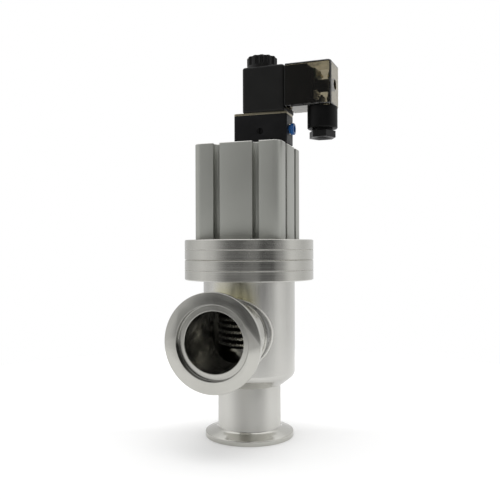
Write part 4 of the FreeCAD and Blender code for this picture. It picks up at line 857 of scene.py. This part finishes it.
def make_weld_bead(finishes):
    """Rippled bead where the side neck meets the body tube."""
    bead_radius = NECK_RADIUS + 1.1
    half_width = 0.75
    over_tube = 0.35
    ripples = 60
    ripple_height = 0.08
    start_clean()
    bpy.ops.mesh.primitive_torus_add(major_radius=bead_radius * MM, minor_radius=half_width * MM,
                                     major_segments=4 * ripples, minor_segments=12,
                                     location=(0, 0, SIDE_HEIGHT * MM),
                                     rotation=(math.radians(90), 0, 0))
    piece = bpy.context.object
    piece.name = "side_weld_bead"
    settle()
    for vertex in piece.data.vertices:
        across = vertex.co.x
        angle = math.atan2(vertex.co.z - SIDE_HEIGHT * MM, across)
        # The bead lies on the round tube, and swells a little at each ripple
        tube = math.sqrt((BODY_RADIUS * MM) ** 2 - across ** 2)
        ripple = ripple_height * MM * math.sin(angle * ripples)
        vertex.co.y += -tube - over_tube * MM - ripple
    tidy_shell(80.0)
    piece.data.materials.append(finishes["bottom"])
    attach(piece, "housing")


def on_coil(piece):
    """Turns a piece that is modelled about the armature tube's axis into its place."""
    piece.location = (TUBE_X * MM, 0, 0)
    piece.rotation_euler = (0, 0, COIL_TURN)
    settle()
    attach(piece, "housing")


def block(name, low, high, rounding):
    """A rounded block between two corners, in millimetres."""
    start_clean()
    bpy.ops.mesh.primitive_cube_add(size=1, location=(Vector(low) + Vector(high)) / 2 * MM)
    piece = bpy.context.object
    piece.name = name
    piece.scale = (Vector(high) - Vector(low)) * MM
    settle()
    bevel = piece.modifiers.new("edges", "BEVEL")
    bevel.width = rounding * MM
    bevel.segments = 3
    bpy.ops.object.modifier_apply(modifier="edges")
    bpy.ops.object.shade_smooth_by_angle(angle=math.radians(40))
    return piece


def make_terminals(finishes):
    """Wire clamps on the terminal shelf's outer face, each a bent yoke with its screw."""
    spread = 6.4
    half_width = 2.0
    depth = 2.6
    foot = SHELF_FOOT + 0.2
    top = SHELF_FOOT + 5.2
    screw_outline = [(1.5, 0.0), (1.5, 0.9), (1.3, 1.1), (0.5, 1.1), (0.5, 0.5)]
    for side, middle in (("front", -spread), ("back", spread)):
        yoke = block(f"wire_clamp_{side}", (SHELF_END, middle - half_width, foot),
                     (SHELF_END + depth, middle + half_width, top), 0.4)
        yoke.data.materials.append(finishes["screw"])
        on_coil(yoke)
        screw = turn_shape(f"clamp_screw_{side}", screw_outline, 24, ends=("first", "last"))
        screw.rotation_euler = (0, math.radians(90), 0)
        screw.location = Vector((SHELF_END + depth, middle, (foot + top) / 2)) * MM
        settle()
        screw.data.materials.append(finishes["screw"])
        on_coil(screw)


def make_board_parts(finishes):
    """Lamp and resistor on the small board above the screw's tunnel."""
    face = SHELF_END + 1.2
    middle = BOARD_TOP - 2.3
    lamp_place = -3.6
    resistor_place = 2.6
    resistor_radius = 0.95
    lamp_outline = [(1.7, 0.0), (1.7, 0.6), (1.5, 0.6), (1.5, 1.4), (1.3, 2.0), (0.8, 2.4), (0.2, 2.55)]
    lamp = turn_shape("board_lamp", lamp_outline, 32, ends=("first", "last"))
    lamp.rotation_euler = (0, math.radians(90), 0)
    lamp.location = Vector((face, lamp_place, middle)) * MM
    settle()
    lamp.data.materials.append(finishes["resin"])
    on_coil(lamp)
    half_outline = [(0.5, 2.2), (0.9, 2.0), (0.9, 1.4), (0.75, 1.2)]
    resistor_outline = [(radius, -place) for radius, place in half_outline] + half_outline[::-1]
    resistor = turn_shape("board_resistor", resistor_outline, 24, ends=("first", "last"))
    resistor.rotation_euler = (math.radians(90), 0, 0)
    resistor.location = Vector((face + resistor_radius, resistor_place, middle)) * MM
    settle()
    resistor.data.materials.append(finishes["brass"])
    on_coil(resistor)


def main():
    place_camera()
    light_studio()
    lay_floor()
    finishes = make_materials()
    paint_nodes(finishes)
    make_edged_pieces()
    make_bellows(finishes)
    make_return_spring(finishes)
    make_weld_bead(finishes)
    make_terminals(finishes)
    make_board_parts(finishes)
    bpy.context.scene.view_settings.view_transform = "Standard"


main()
